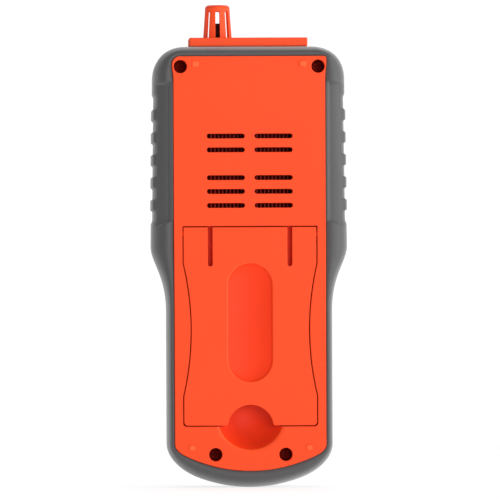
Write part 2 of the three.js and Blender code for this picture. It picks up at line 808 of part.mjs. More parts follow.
/** A cell, with its small contact towards the top or the bottom. */
function batteryCell(index) {
  const up = index % 2 === 0;
  const length = CELL.high - CELL.low - CELL.tip;
  const can = new THREE.CylinderGeometry(CELL.radius, CELL.radius, length, 20);
  const nubLength = CELL.tip + 0.5;
  const nub = new THREE.CylinderGeometry(CELL.tipRadius, CELL.tipRadius, nubLength, 12);
  const middle = (CELL.high + CELL.low) / 2;
  can.rotateX(Math.PI / 2).translate(cellX(index), CELL.y, middle - (up ? CELL.tip / 2 : -CELL.tip / 2));
  const nubZ = up ? CELL.high - nubLength / 2 : CELL.low + nubLength / 2;
  nub.rotateX(Math.PI / 2).translate(cellX(index), CELL.y, nubZ);
  return solid(can).add(solid(nub));
}

/** A strip of contacts across one end of the bay, with a raised pad for each cell. */
function contactStrip(z, towards) {
  const { half, rear, front, thick, padHalf, padReach } = CONTACT;
  const strip = [z, z + thick * towards].sort((a, b) => a - b);
  const pad = [z + 0.5 * thick * towards, z + padReach * towards].sort((a, b) => a - b);
  let body = block([-half, half], [front, rear], strip);
  for (let index = 0; index < CELL.count; index++) {
    const padXs = [cellX(index) - padHalf, cellX(index) + padHalf];
    body = body.add(block(padXs, [CELL.y - padHalf, CELL.y + padHalf], pad));
  }
  return body;
}

// ---------------------------------------------------------------- electronics and front
function mainBoard() {
  let body = block([-BOARD.half, BOARD.half], [BOARD.front, BOARD.rear], [BOARD.low, BOARD.high]);
  for (const { x, z } of BOARD_SCREWS) {
    body = body.subtract(rodY(x, z, BOARD.holeRadius, BOARD.rear + 1, BOARD.front - 1, 10));
  }
  return body;
}

const displayModule = () =>
  block([-DISPLAY.half, DISPLAY.half], [DISPLAY.front, DISPLAY.rear], [DISPLAY.low, DISPLAY.high]);
const displayLens = () =>
  plate(
    roundedRectangle(0, (LENS.low + LENS.high) / 2, 2 * LENS.half, LENS.high - LENS.low, LENS.corner),
    LENS.rear,
    LENS.front,
  );
const keypadMat = () =>
  plate(roundedRectangle(0, MAT.z, MAT.width, MAT.height, MAT.corner), MAT.rear, MAT.front);
const buzzer = () => rodY(BUZZER.x, BUZZER.z, BUZZER.radius, BUZZER.rear, BOARD.rear + GAP, 24);
const processor = () =>
  block(
    [-PROCESSOR.half, PROCESSOR.half],
    [BOARD.rear + GAP, PROCESSOR.rear],
    [PROCESSOR.low, PROCESSOR.high],
  );

function keyCap(key) {
  const cap = plate(keyOutline(key, 0), KEY.flangeRear, KEY.front);
  return cap.add(plate(keyOutline(key, KEY.flange), KEY.flangeRear, KEY.flangeFront));
}

function particleSensor() {
  const { half, low, high, rear, front, fanX, fanZ, intakeXs, intakeZs, intakeDepth } = PARTICLE;
  const body = block([-half, half], [front, rear], [low, high]);
  const fanPocket = rodY(fanX, fanZ, FAN.pocketRadius, rear + 1, FAN.front - 0.8, 36);
  const intake = block(intakeXs, [rear - intakeDepth, rear + 1], intakeZs);
  return body.subtract(fanPocket).subtract(intake);
}

function fanRotor() {
  let body = rodY(0, 0, FAN.hubRadius, FAN.rear, FAN.front, 20);
  for (let blade = 0; blade < FAN.blades; blade++) {
    const root = FAN.hubRadius - 0.8; // sunk in the hub, so that they join
    const vane = new THREE.BoxGeometry(FAN.radius - root, FAN.bladeDepth, FAN.bladeThick);
    vane.rotateX(FAN.bladeTurn);
    vane.translate((FAN.radius + root) / 2, (FAN.rear + FAN.front) / 2, 0);
    vane.rotateY((blade / FAN.blades) * 2 * Math.PI);
    body = body.add(solid(vane));
  }
  return body.translate([PARTICLE.fanX, 0, PARTICLE.fanZ]);
}

// ---------------------------------------------------------------- assembly
const materials = Object.fromEntries(
  Object.entries(COLOURS).map(([name, [color, roughness, metalness]]) => [
    name,
    new THREE.MeshStandardMaterial({ color, roughness, metalness }),
  ]),
);

const meter = new THREE.Group();

function addPart(name, body, material) {
  const mesh = new THREE.Mesh(geometryOf(body), materials[material]);
  mesh.name = name;
  meter.add(mesh);
}

addPart('rear_case', rearCase(), 'orange');
addPart('front_case', frontCase(), 'shell');
addPart('rubber_boot', rubberBoot(), 'boot');
addPart('tilt_stand', tiltStand(), 'orange');
addPart('top_cap', topCap(), 'orange');
addPart('sensor_cage', sensorCage(), 'orange');
addPart('humidity_sensor', blade(SENSOR), 'black');
addPart('sensor_board', blade(SENSOR_BOARD), 'board');
SCREWS.forEach((place, i) => addPart(`case_screw_${i + 1}`, caseScrew(place), 'steel'));
addPart('battery_door', batteryDoor(), 'orange');
addPart('battery_door_screw', doorScrew(), 'steel');
addPart('battery_tray', batteryTray(), 'black');
for (let index = 0; index < CELL.count; index++) {
  addPart(`battery_${index + 1}`, batteryCell(index), 'cell');
}
addPart('battery_contact_lower', contactStrip(TRAY_POCKET.low + GAP, 1), 'steel');
addPart('battery_contact_upper', contactStrip(TRAY_POCKET.high - GAP, -1), 'steel');
addPart('main_board', mainBoard(), 'board');
BOARD_SCREWS.forEach((place, i) => addPart(`board_screw_${i + 1}`, boardScrew(place), 'steel'));
addPart('display_module', displayModule(), 'panel');
addPart('display_lens', displayLens(), 'lens');
addPart('keypad_mat', keypadMat(), 'rubber');
for (const key of KEYS) {
  addPart(key.name, keyCap(key), key.name === 'power_button' ? 'power' : 'keys');
}
addPart('vent_baffle', ventBaffle(), 'orange');
addPart('particle_sensor', particleSensor(), 'steel');
addPart('fan_rotor', fanRotor(), 'black');
addPart('buzzer', buzzer(), 'black');
addPart('processor', processor(), 'black');

export default meter;
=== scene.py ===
"""The looks of the handheld air quality meter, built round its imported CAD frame.

Lengths are in millimetres until a mesh is made. X is the width, +Y is the back with the tilt
stand, which the camera sees, and Z is up.
"""
import json
import math

import bmesh
import bpy
import numpy as np
from mathutils import Matrix, Vector


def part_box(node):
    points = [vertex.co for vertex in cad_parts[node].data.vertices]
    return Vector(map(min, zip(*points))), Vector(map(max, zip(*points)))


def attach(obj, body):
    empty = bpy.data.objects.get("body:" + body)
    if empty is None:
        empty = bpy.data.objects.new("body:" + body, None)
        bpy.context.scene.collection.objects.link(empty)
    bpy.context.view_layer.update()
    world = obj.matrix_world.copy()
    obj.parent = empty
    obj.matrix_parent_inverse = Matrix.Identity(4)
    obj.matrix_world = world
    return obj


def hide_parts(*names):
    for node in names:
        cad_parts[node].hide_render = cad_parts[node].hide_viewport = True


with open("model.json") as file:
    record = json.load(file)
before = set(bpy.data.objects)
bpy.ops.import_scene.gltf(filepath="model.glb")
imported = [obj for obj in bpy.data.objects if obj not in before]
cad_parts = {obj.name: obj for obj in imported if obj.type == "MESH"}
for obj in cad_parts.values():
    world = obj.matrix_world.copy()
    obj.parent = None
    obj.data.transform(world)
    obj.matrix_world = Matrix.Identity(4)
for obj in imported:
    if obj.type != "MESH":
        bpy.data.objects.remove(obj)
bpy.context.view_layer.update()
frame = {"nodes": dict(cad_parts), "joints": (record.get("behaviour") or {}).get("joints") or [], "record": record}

MM = 0.001


def box(node):
    """The lowest and highest corner of a CAD node, in millimetres."""
    low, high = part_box(node)
    return np.array(low) / MM, np.array(high) / MM


# ---------------------------------------------------------------- sizes from the frame
boot_low, boot_high = box("rubber_boot")
case_low, case_high = box("rear_case")
front_low, front_high = box("front_case")
stand_low, stand_high = box("tilt_stand")
cap_low, cap_high = box("top_cap")
cage_low, cage_high = box("sensor_cage")
sensor_low, sensor_high = box("humidity_sensor")
lens_low, lens_high = box("display_lens")
door_low, door_high = box("battery_door")
display_low, display_high = box("display_module")
grille_low, grille_high = box("vent_baffle")

# ---------------------------------------------------------------- driving dimensions
GAP = 0.3  # between pieces that touch

# The boot's edge. The corner and foot values are the outline's control points.
TOP = boot_high[2]
SHOULDER = (38.4, 162.9)
CORNER_PULL = 0.62
LUG = (boot_high[0], 96.5)
WAIST = (33.1, 70.0)
FOOT_Z = 17.5
REAR = boot_high[1]
FRONT = boot_low[1]
WALL = 8.0  # half depth of the upright side wall
BOOT_WALL = 3.0
LIP = 0.12  # gap between the boot and the raised panel
LIP_EDGE = 0.1
CREST_SHARE = 0.3  # how far across its band the boot is highest
LIP_SLOPE = 0.06  # how much lower than its crest the boot is beside the panel, as a share of its band

# The grip recess in each long side
GRIP_TOP = 162.5
GRIP_TOP_END = 160.8
GRIP_LOW = 106.1
GRIP_FALL = 3.6  # how far its lower end runs down towards the edge
GRIP_RIM = 0.9  # the ridge beside the panel ends here, and the floor starts there
GRIP_RIM_END = 2.0
GRIP_DROP = 1.4
GRIP_ROLL = 1.8  # how far the floor falls towards the outer edge
GRIP_SINK = 0.6
NOTCH_TOP = (157.8, 155.6)
NOTCH_LOW = (107.0, 105.0)
RIB_FIRST = 148.9
RIB_PITCH = 9.0
RIB_COUNT = 5
RIB_HEIGHT = 0.85
RIB_CREST = 1.7
RIB_BASE = 2.75

# The raised panel
PANEL_TOP = 172.2
PANEL_HALF = 30.8
PANEL_CORNERS = {1: 3.2, -1: 1.1}
PANEL_GRIP = 30.3
PANEL_WAIST = 30.2
PANEL_LOW = 6.7
PANEL_REAR = case_high[1]
PANEL_EDGE = 0.25
FLOOR_SIZE = 1.6  # metres
LEDGE = 15.0
PARTING = case_low[1]
SKIN = 2.0

# The stand and what it folds into
STAND_HALF = 26.5
STAND_WAIST = 23.4
STAND_STRAIGHT = 89.5
STAND_FOOT = 36.5
STAND_CORNER = 1.5
STAND_SIDE = 0.45
STAND_TOP_GAP = 0.5
POCKET_TOP_GAP = 0.95  # under the rear face, where the stand's top edge swings
STAND_EDGE = 0.2
FLOOR = 15.4
FLOOR_SKIN = 1.8
AXIS = Vector(next(j for j in frame["joints"] if j["name"] == "stand_hinge")["pos_m"]) / MM
PIN_RADIUS = 1.15
SLOT_X = 15.9
SLOT_HALF = 0.975
SLOT_SIDE = 0.9  # half width of the floor left between the hinge pockets
SLOT_LOW = 88.3
NOTCH_Z = 23.85
NOTCH_RADIUS = 9.2
NOTCH_FLARE = 0.9
DISH_HALF = 8.86
DISH_DEPTH = 2.5
DISH_RIM = 0.6
DISH_Z = (42.2, 89.5)
POCKET_LOW = 97.5
POCKET_FLOOR = 13.9
POCKET_ROOF = 0.6
DOOR_GAP = 0.06
SCOOP_Z = 28.3
SCOOP_RADIUS = 13.6
SCOOP_DEPTH = 8.5
SCOOP_RIM = 1.0

# Vents, bores and pips
VENT_ROWS = (140.3, 134.8, 123.7, 118.2, 112.6)
VENT_X = 9.55
VENT_SIZE = (15.2, 1.9)
BORE_RADIUS = 2.65
BORE_SEAT = 9.0
BOSS_RADIUS = 4.3
SHANK_HOLE = 1.75
SCREWS = {1: (27.5, 168.1), 2: (-27.5, 168.1), 3: (14.0, 13.2), 4: (-14.0, 13.2)}
PIPS = ((21.5, 169.1, 2.9), (-21.5, 169.1, 2.9), (23.4, 15.9, 2.6), (-23.4, 15.9, 2.6))
PIP_HEIGHT = 0.5
GRILLE_BORDER = 2.0
GRILLE_RIBS = 23
GRILLE_RIB = 0.7

# Top bar and sensor guard
BAR_GAP = 0.1
CAP_EDGE = 0.45
NECK = (21.5, -9.2, 7.2, 169.0)  # half width, front, rear, bottom
NECK_WALL = 1.5
INLETS = (-19.0, -15.5, -12.0, -8.5, -5.0, -1.5)
CAGE_BASE = 5.8
CAGE_SHOULDER = 4.95
CAGE_WALL = 1.0
CAGE_ROUND = 1.5
CAGE_SLOTS = 4
CAGE_SLOT_WIDTH = 1.8
CAGE_SLOT_TOP = 190.7

# Front
WINDOW = (23.5, 105.0, 161.0)  # half width, bottom, top
FRONT_INSIDE = -15.5
KEYS = {
    "mode_button": (-17.0, 76.0, 14.0, 9.0),
    "hold_button": (17.0, 76.0, 14.0, 9.0),
    "up_button": (0.0, 86.0, 14.0, 9.0),
    "down_button": (0.0, 66.0, 14.0, 9.0),
    "power_button": (0.0, 38.0, 14.0, 14.0),
}
KEY_CROWN = 0.35
KEY_FLANGE = 0.9
KEY_FLANGE_THICK = 0.9
KEY_FLANGE_EDGE = 0.15

# Camera
CAMERA_YAW = 1.8
CAMERA_HEIGHT = 0.077
CAMERA_DISTANCE = 3.0
CAMERA_TARGET = (-0.0006, 0.0, 0.0949)
CAMERA_ROLL = -0.25
CAMERA_LENS = 538.0


# ---------------------------------------------------------------- curves and outlines
def lerp(a, b, share):
    return a + (b - a) * share


def ease(share):
    """A soft step from 0 to 1."""
    share = np.clip(share, 0, 1)
    return share * share * (3 - 2 * share)


def bezier(controls, shares):
    """Points at the given shares of a Bezier curve of any degree."""
    points = np.repeat(np.array(controls, float)[None], len(shares), axis=0)
    share = np.asarray(shares, float)[:, None, None]
    while points.shape[1] > 1:
        points = lerp(points[:, :-1], points[:, 1:], share)
    return points[:, 0]


def chain(first, second, split, shares):
    """Two Bezier curves end to end, the first taking shares up to split."""
    early = bezier(first, np.clip(shares / split, 0, 1))
    late = bezier(second, np.clip((shares - split) / (1 - split), 0, 1))
    return np.where((shares < split)[:, None], early, late)


def anticlockwise(outline):
    x, y = outline.T
    area = np.sum(x * np.roll(y, -1) - np.roll(x, -1) * y)
    return outline if area > 0 else outline[::-1]


def inset(outline, distance):
    """A closed anticlockwise outline moved inwards, or outwards if distance is negative."""
    edges = np.roll(outline, -1, axis=0) - outline
    edges /= np.linalg.norm(edges, axis=1)[:, None]
    normals = np.stack([-edges[:, 1], edges[:, 0]], axis=1)
    before = np.roll(normals, 1, axis=0)
    share = 1 + np.sum(normals * before, axis=1)[:, None]
    return outline + (normals + before) / share * distance


def rounded(corners, steps=6):
    """A closed outline from (x, y, radius) corners, each turned with an arc."""
    points = []
    places = [np.array(c[:2], float) for c in corners]
    for i, (here, radius) in enumerate(zip(places, [c[2] for c in corners])):
        if radius == 0:
            points.append(here)
            continue
        back = places[i - 1] - here
        ahead = places[(i + 1) % len(places)] - here
        back /= np.linalg.norm(back)
        ahead /= np.linalg.norm(ahead)
        half = math.acos(np.clip(back @ ahead, -1, 1)) / 2
        middle = back + ahead
        centre = here + middle / np.linalg.norm(middle) * radius / math.sin(half)
        start = here + back * radius / math.tan(half) - centre
        end = here + ahead * radius / math.tan(half) - centre
        turn = math.pi - 2 * half
        for step in range(steps + 1):
            share = step / steps
            arc = math.sin((1 - share) * turn) * start + math.sin(share * turn) * end
            points.append(centre + arc / math.sin(turn))
    return anticlockwise(np.array(points))


def rounded_rectangle(x, y, width, height, radius, steps=8):
    half_w, half_h = width / 2, height / 2
    signs = ((1, 1), (-1, 1), (-1, -1), (1, -1))
    return rounded([(x + sx * half_w, y + sy * half_h, radius) for sx, sy in signs], steps)


def circle(x, y, radius, steps=48):
    turn = np.arange(steps) / steps * 2 * math.pi
    return np.stack([x + radius * np.cos(turn), y + radius * np.sin(turn)], axis=1)


def stadium(x, z, half_width, low, high, steps=24):
    """An upright outline with round ends."""
    turn = np.linspace(0, math.pi, steps + 1)
    top = np.stack([half_width * np.cos(turn), high - half_width + half_width * np.sin(turn)], axis=1)
    low_end = np.stack([-half_width * np.cos(turn), low + half_width - half_width * np.sin(turn)], axis=1)
    return np.concatenate([top, low_end]) + np.array([x, z])


# ---------------------------------------------------------------- meshes
def make(name, vertices, faces):
    mesh = bpy.data.meshes.new(name)
    mesh.from_pydata([tuple(v) for v in np.asarray(vertices) * MM], [], faces)
    tidy = bmesh.new()
    tidy.from_mesh(mesh)
    bmesh.ops.recalc_face_normals(tidy, faces=tidy.faces)
    tidy.to_mesh(mesh)
    tidy.free()
    piece = bpy.data.objects.new(name, mesh)
    bpy.context.scene.collection.objects.link(piece)
    return piece


def stack(rings, axis="y", name="stack"):
    """A closed solid from outlines of one length laid over each other: (outline, height) pairs.
    Along Y an outline holds X and Z, and along Z it holds X and Y."""
    count = len(rings[0][0])
    vertices = []
    for outline, height in rings:
        level = np.full(count, float(height))
        first, second = outline.T
        columns = (first, level, second) if axis == "y" else (first, second, level)
        vertices.append(np.stack(columns, axis=1))
    faces = [tuple(range(count)), tuple(range((len(rings) - 1) * count, len(rings) * count))[::-1]]
    for row in range(len(rings) - 1):
        for i in range(count):
            j = (i + 1) % count
            faces.append((row * count + i, row * count + j, (row + 1) * count + j, (row + 1) * count + i))
    return make(name, np.concatenate(vertices), faces)


def plate(outline, low, high, low_edge=0.0, high_edge=0.0, axis="y", steps=6):
    """A flat piece of an outline, with its edges rounded."""
    rings = []
    for edge, height, sign in ((low_edge, low, 1), (high_edge, high, -1)):
        turns = np.linspace(0, math.pi / 2, steps + 1) if edge else [math.pi / 2]
        part = [
            (inset(outline, edge * (1 - math.sin(t))), height + sign * edge * (1 - math.cos(t)))
            for t in turns
        ]
        rings += part if sign > 0 else part[::-1]
    return stack(rings, axis)


def flared(outline, bottom, face, edge, axis="y", steps=6):
    """What a hole takes out: its outline, opening with a rounded edge where it meets the face."""
    sign = 1 if face > bottom else -1
    rings = [(outline, bottom)]
    for turn in np.linspace(0, math.pi / 2, steps + 1):
        height = face - sign * edge * (1 - math.sin(turn))
        rings.append((inset(outline, -edge * (1 - math.cos(turn))), height))
    rings.append((inset(outline, -edge), face + sign))
    return stack(rings, axis)


def turned(profile, steps, along="y", centre=(0, 0)):
    """A closed solid turned from (radius, height) pairs."""
    return stack([(circle(*centre, max(r, 0.01), steps), h) for r, h in profile], along)


def block(low, high):
    corners = [(low[0], low[2]), (high[0], low[2]), (high[0], high[2]), (low[0], high[2])]
    outline = rounded([(x, z, 0) for x, z in corners])
    return stack([(outline, low[1]), (outline, high[1])])


def rod_x(x0, x1, y, z, radius, steps=32):
    rod = stack([(circle(0, 0, radius, steps), x0), (circle(0, 0, radius, steps), x1)], "z")
    rod.data.transform(Matrix.Rotation(math.pi / 2, 4, "Y"))
    rod.data.transform(Matrix.Translation(Vector((0, y, z)) * MM))
    return rod


def combine(piece, others, operation="DIFFERENCE"):
    """Cuts the others from the piece, or joins them to it, and removes them."""
    for other in others:
        step = piece.modifiers.new("step", "BOOLEAN")
        step.operation = operation
        step.solver = "MANIFOLD"
        step.object = other
    bpy.context.view_layer.update()
    evaluated = piece.evaluated_get(bpy.context.evaluated_depsgraph_get())
    mesh = bpy.data.meshes.new_from_object(evaluated)
    if not mesh.polygons:
        raise RuntimeError(f"{piece.name}: a cut left nothing")
    piece.modifiers.clear()
    old, piece.data = piece.data, mesh
    bpy.data.meshes.remove(old)
    for other in others:
        bpy.data.meshes.remove(other.data)
    return piece


def cut(piece, *others):
    return combine(piece, others, "DIFFERENCE")


def join(piece, *others):
    return combine(piece, others, "UNION")


def finish_piece(piece, name, slot, replaces=(), body="case", sharp=17, weighted=True, material=None):
    """Names a piece, smooths it except at its sharp edges, and puts it on its body."""
    piece.name = name
    piece.data.name = name
    piece.data.shade_smooth()
    piece.data.set_sharp_from_angle(angle=math.radians(sharp))
    if weighted:
        even = piece.modifiers.new("even normals", "WEIGHTED_NORMAL")
        even.keep_sharp = True
    piece.data.materials.clear()
    piece.data.materials.append(material or MATERIALS[slot])
    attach(piece, body)
    if replaces:
        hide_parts(*replaces)
    return piece


# ---------------------------------------------------------------- the meter's outline
def panel_half(z):
    return lerp(PANEL_WAIST, PANEL_GRIP, np.clip((z - WAIST[1]) / (LUG[1] - WAIST[1]), 0, 1))


def half_outline(side, counts):
    """One side's stations from the middle of the top to the middle of the bottom: the boot's edge
    and the panel's edge beside it. counts holds the steps of each of its seven stretches."""
    corner_x = SHOULDER[0] - (TOP - SHOULDER[1])
    pull = (TOP - SHOULDER[1]) * CORNER_PULL
    radius = PANEL_CORNERS[side]
    panel_x = PANEL_HALF - radius
    panel_z = PANEL_TOP - radius
    curve = 0.55 * radius
    outer, inner = [], []
    spans = [np.arange(n) / n for n in counts]

    outer.append(bezier([(0, TOP), (corner_x, TOP)], spans[0]))
    inner.append(bezier([(0, PANEL_TOP), (panel_x, PANEL_TOP)], spans[0]))

    outer.append(
        bezier(
            [(corner_x, TOP), (corner_x + pull, TOP), (SHOULDER[0], SHOULDER[1] + pull), SHOULDER],
            spans[1],
        )
    )
    panel_corner = [
        (panel_x, PANEL_TOP),
        (panel_x + curve, PANEL_TOP),
        (PANEL_HALF, panel_z + curve),
        (PANEL_HALF, panel_z),
    ]
    down = SHOULDER[1]
    narrowing = [
        (PANEL_HALF, panel_z),
        (PANEL_HALF, lerp(panel_z, down, 0.55)),
        (PANEL_GRIP, lerp(panel_z, down, 0.45)),
        (PANEL_GRIP, down),
    ]
    inner.append(chain(panel_corner, narrowing, 0.5, spans[1]))

    outer.append(bezier([SHOULDER, LUG], spans[2]))
    outer.append(bezier([LUG, (LUG[0], 90), (33, 85), WAIST], spans[3]))
    outer.append(bezier([WAIST, (WAIST[0], FOOT_Z)], spans[4]))
    for stretch in outer[2:]:
        inner.append(np.stack([panel_half(stretch[:, 1]), stretch[:, 1]], axis=1))

    outer.append(bezier([(WAIST[0], FOOT_Z), (WAIST[0], 11.5), (27.6, 6.35), (20, 3.56)], spans[5]))
    foot_corner = [(PANEL_WAIST, FOOT_Z), (PANEL_WAIST, 15.5), (28.7, 14.1), (26.5, 12.95)]
    inner.append(chain(foot_corner, [(26.5, 12.95), (23.4, 11.4), (20, 10.2)], 0.46, spans[5]))
    outer.append(bezier([(20, 3.56), (10.2, 0), (0, 0)], spans[6]))
    inner.append(bezier([(20, 10.2), (10.3, PANEL_LOW), (0, PANEL_LOW)], spans[6]))
    flip = np.array([side, 1])
    return np.concatenate(outer) * flip, np.concatenate(inner) * flip


def stations(counts):
    """The boot's edge and the panel's edge at matching places all round the meter."""
    right_outer, right_inner = half_outline(1, counts)
    left_outer, left_inner = half_outline(-1, counts)
    foot_outer, foot_inner = np.array([[0.0, 0.0]]), np.array([[0.0, PANEL_LOW]])
    outer = np.concatenate([right_outer, foot_outer, left_outer[:0:-1]])
    inner = np.concatenate([right_inner, foot_inner, left_inner[:0:-1]])
    return outer, inner


FINE = (20, 56, 264, 48, 20, 44, 30)
COARSE = (4, 44, 6, 24, 4, 32, 16)
case_outer, case_inner = stations(COARSE)
case_band = np.linalg.norm(case_outer - case_inner, axis=1)
case_reach = np.maximum(1.3, case_band - BOOT_WALL)


def case_outline(reach):
    """An outline at a reach outside the raised panel."""
    direction = (case_outer - case_inner) / case_band[:, None]
    return anticlockwise(case_inner + direction * np.broadcast_to(reach, case_band.shape)[:, None])


def panel_outline(distance=0.0):
    return inset(anticlockwise(case_inner), distance)


# ---------------------------------------------------------------- rubber boot
LIP_STEPS = 4
RISE_STEPS = 9
ROLL_STEPS = 22


def plain_section(band, face):
    """From the lip beside the panel over the crest to the side wall: reach and depth by station."""
    edge = LIP_EDGE
    drop = LIP_SLOPE * band
    crest = CREST_SHARE * band
    reach, depth = [], []
    for turn in np.linspace(0, math.pi / 2, LIP_STEPS):
        reach.append(LIP + edge * (1 - math.cos(turn)) + 0 * band)
        depth.append(face - drop - edge * (1 - math.sin(turn)))
    for share in np.linspace(0, 1, RISE_STEPS + 1)[1:]:
        reach.append(lerp(LIP + edge, crest, share))
        depth.append(face - drop * (1 - share) ** 2)
    for share in np.linspace(0, 1, ROLL_STEPS + 1)[1:]:
        turn = share * math.pi / 2
        reach.append(crest + (band - crest) * math.sin(turn))
        depth.append(WALL + (face - WALL) * math.cos(turn) + 0 * band)
    return np.array(reach), np.array(depth)


def grip_section(band, face, rib):
    """The same points where the grip is cut in: a ridge, a floor, an edge and a ribbed wall."""
    edge = 0.25
    floor = face - GRIP_DROP
    reach, depth = [], []
    for turn in np.linspace(0, math.pi / 2, LIP_STEPS):
        reach.append(LIP + edge * (1 - math.cos(turn)) + 0 * band)
        depth.append(face - edge * (1 - math.sin(turn)) + 0 * band)
    for share in np.linspace(0, 1, RISE_STEPS):
        reach.append(lerp(GRIP_RIM, GRIP_RIM_END, share) + 0 * band)
        depth.append(face - GRIP_DROP * ease(share) + 0 * band)
    floor_steps, edge_steps = 8, 6
    floor_end = np.stack([band - 2.2, floor - GRIP_ROLL + 0 * band])
    turn_middle = np.stack([band - 1.95, floor - GRIP_ROLL - 0.2 + 0 * band])
    wall_top = np.stack([band - 1.8, floor - GRIP_ROLL - 0.6 + 0 * band])
    wall_turn = np.stack([band - GRIP_SINK - 0.1, floor - 4.0 + 0 * band])
    wall_low = np.stack([band - GRIP_SINK, WALL + 0 * band])
    for share in np.linspace(0, 1, floor_steps + 1)[1:]:
        reach.append(lerp(GRIP_RIM_END, floor_end[0], share))
        depth.append(floor - GRIP_ROLL * share**2.2 + 0 * band)
    for t in np.linspace(0, 1, edge_steps + 1)[1:]:
        point = (1 - t) ** 2 * floor_end + 2 * t * (1 - t) * turn_middle + t**2 * wall_top
        reach.append(point[0])
        depth.append(point[1])
    for t in np.linspace(0, 1, ROLL_STEPS - floor_steps - edge_steps + 1)[1:]:
        point = (1 - t) ** 2 * wall_top + 2 * t * (1 - t) * wall_turn + t**2 * wall_low
        reach.append(point[0])
        depth.append(point[1])
    reach, depth = np.array(reach), np.array(depth)
    reach += RIB_HEIGHT * rib * ease((floor - GRIP_ROLL - 0.2 - depth) / 1.2)
    return reach, depth


def rubber_boot():
    outer, inner = stations(FINE)
    band = np.linalg.norm(outer - inner, axis=1)
    direction = (outer - inner) / band[:, None]
    z = outer[:, 1]
    on_side = (z < SHOULDER[1]) & (z > LUG[1])
    nearest = np.clip(np.round((RIB_FIRST - z) / RIB_PITCH), 0, RIB_COUNT - 1)
    away = np.abs(z - (RIB_FIRST - nearest * RIB_PITCH))
    rib = ease((RIB_BASE - away) / (RIB_BASE - RIB_CREST))
    notch_top, notch_low = NOTCH_TOP, NOTCH_LOW
    wall_cut = ease((notch_top[0] - z) / (notch_top[0] - notch_top[1]))
    wall_cut *= ease((z - notch_low[1]) / (notch_low[0] - notch_low[1]))
    quarters = []
    for face in (REAR, -FRONT):
        plain_reach, plain_depth = plain_section(band, face)
        grip_reach, grip_depth = grip_section(band, face, rib)
        share = grip_reach / band
        end_top = lerp(GRIP_TOP, GRIP_TOP - 1.2, share)
        floor_cut = np.clip((end_top - z) / (end_top - GRIP_TOP_END), 0, 1)
        floor_cut *= ease((z - GRIP_LOW + GRIP_FALL * share**1.6) / 0.9)
        steepness = ease((face - GRIP_DROP - GRIP_ROLL - grip_depth) / 0.9)
        blend = lerp(floor_cut, np.broadcast_to(wall_cut, floor_cut.shape), steepness) * on_side
        quarters.append((lerp(plain_reach, grip_reach, blend), lerp(plain_depth, grip_depth, blend)))
    lip = np.full_like(band, LIP)
    inside = np.maximum(1.3, band - BOOT_WALL) + GAP
    seat = LEDGE + GAP
    wall = quarters[0][0][-1]
    reach = [lip, *quarters[0][0], wall, wall, wall, *quarters[1][0][::-1], lip, inside, inside]
    depth = [lip * 0 + seat, *quarters[0][1]]
    depth += [lip * 0 + y for y in (WALL / 2, 0, -WALL / 2)]
    depth += [*(-quarters[1][1][::-1]), lip * 0 - seat, lip * 0 - seat, lip * 0 + seat]
    reach, depth = np.array(reach), np.array(depth)
    columns, rows = reach.shape
    points = inner[None] + direction[None] * reach[:, :, None]
    vertices = np.stack([points[:, :, 0], depth, points[:, :, 1]], axis=2).transpose(1, 0, 2)
    faces = []
    for row in range(rows):
        ahead = (row + 1) % rows
        for column in range(columns):
            right = (column + 1) % columns
            faces.append(
                (row * columns + column, row * columns + right, ahead * columns + right, ahead * columns + column)
            )
    piece = make("boot", vertices.reshape(-1, 3), faces)
    return cut(piece, neck_window())


def neck_window():
    half, front, rear, bottom = NECK
    return block((-half - 0.4, front - 0.4, bottom - 1), (half + 0.4, rear + 0.4, TOP + 1))


# ---------------------------------------------------------------- rear case
def stand_outline(side_gap=0.0, top_gap=0.0):
    """The stand's outline without its notch and slots, or that of the recess round it."""
    half = STAND_HALF + side_gap
    waist = STAND_WAIST + side_gap
    low = stand_low[2] - side_gap
    top = stand_high[2] + top_gap
    bow = bezier(
        [(half, STAND_STRAIGHT), (2 * waist - half, (STAND_STRAIGHT + STAND_FOOT) / 2), (half, STAND_FOOT)],
        np.linspace(0, 1, 33),
    )
    turn = np.linspace(0, math.pi / 2, 9)
    radius = STAND_CORNER
    corner = np.stack([half - radius + radius * np.cos(turn), low + radius - radius * np.sin(turn)], axis=1)
    right = np.concatenate([[[half - 0.3, top], [half, top - 0.3]], bow, corner])
    left = right[::-1] * np.array([-1, 1])
    return right, left


def recess_outline():
    right, left = stand_outline(STAND_SIDE, STAND_TOP_GAP)
    return anticlockwise(np.concatenate([right, left]))


def scoop_profile(grow=0.0):
    """Radius and depth of the finger scoop, from its floor to its rounded rim."""
    ball = (SCOOP_RADIUS**2 + SCOOP_DEPTH**2) / (2 * SCOOP_DEPTH)
    centre = PANEL_REAR - SCOOP_DEPTH + ball
    end = math.asin(SCOOP_RADIUS / ball)
    if grow:
        turns = np.linspace(0.01, math.pi - 0.01, 40)
        return [((ball + grow) * math.sin(t), centre - (ball + grow) * math.cos(t)) for t in turns]
    turns = np.linspace(0.01, end - 0.05, 36)
    profile = [(ball * math.sin(t), centre - ball * math.cos(t)) for t in turns]
    last = np.array(profile[-1])
    rim_end = SCOOP_RADIUS + SCOOP_RIM
    rim = bezier([last, (SCOOP_RADIUS, PANEL_REAR), (rim_end, PANEL_REAR)], np.linspace(0, 1, 9))
    profile += [tuple(p) for p in rim[1:]]
    profile.append((rim_end, PANEL_REAR + 1))
    return profile


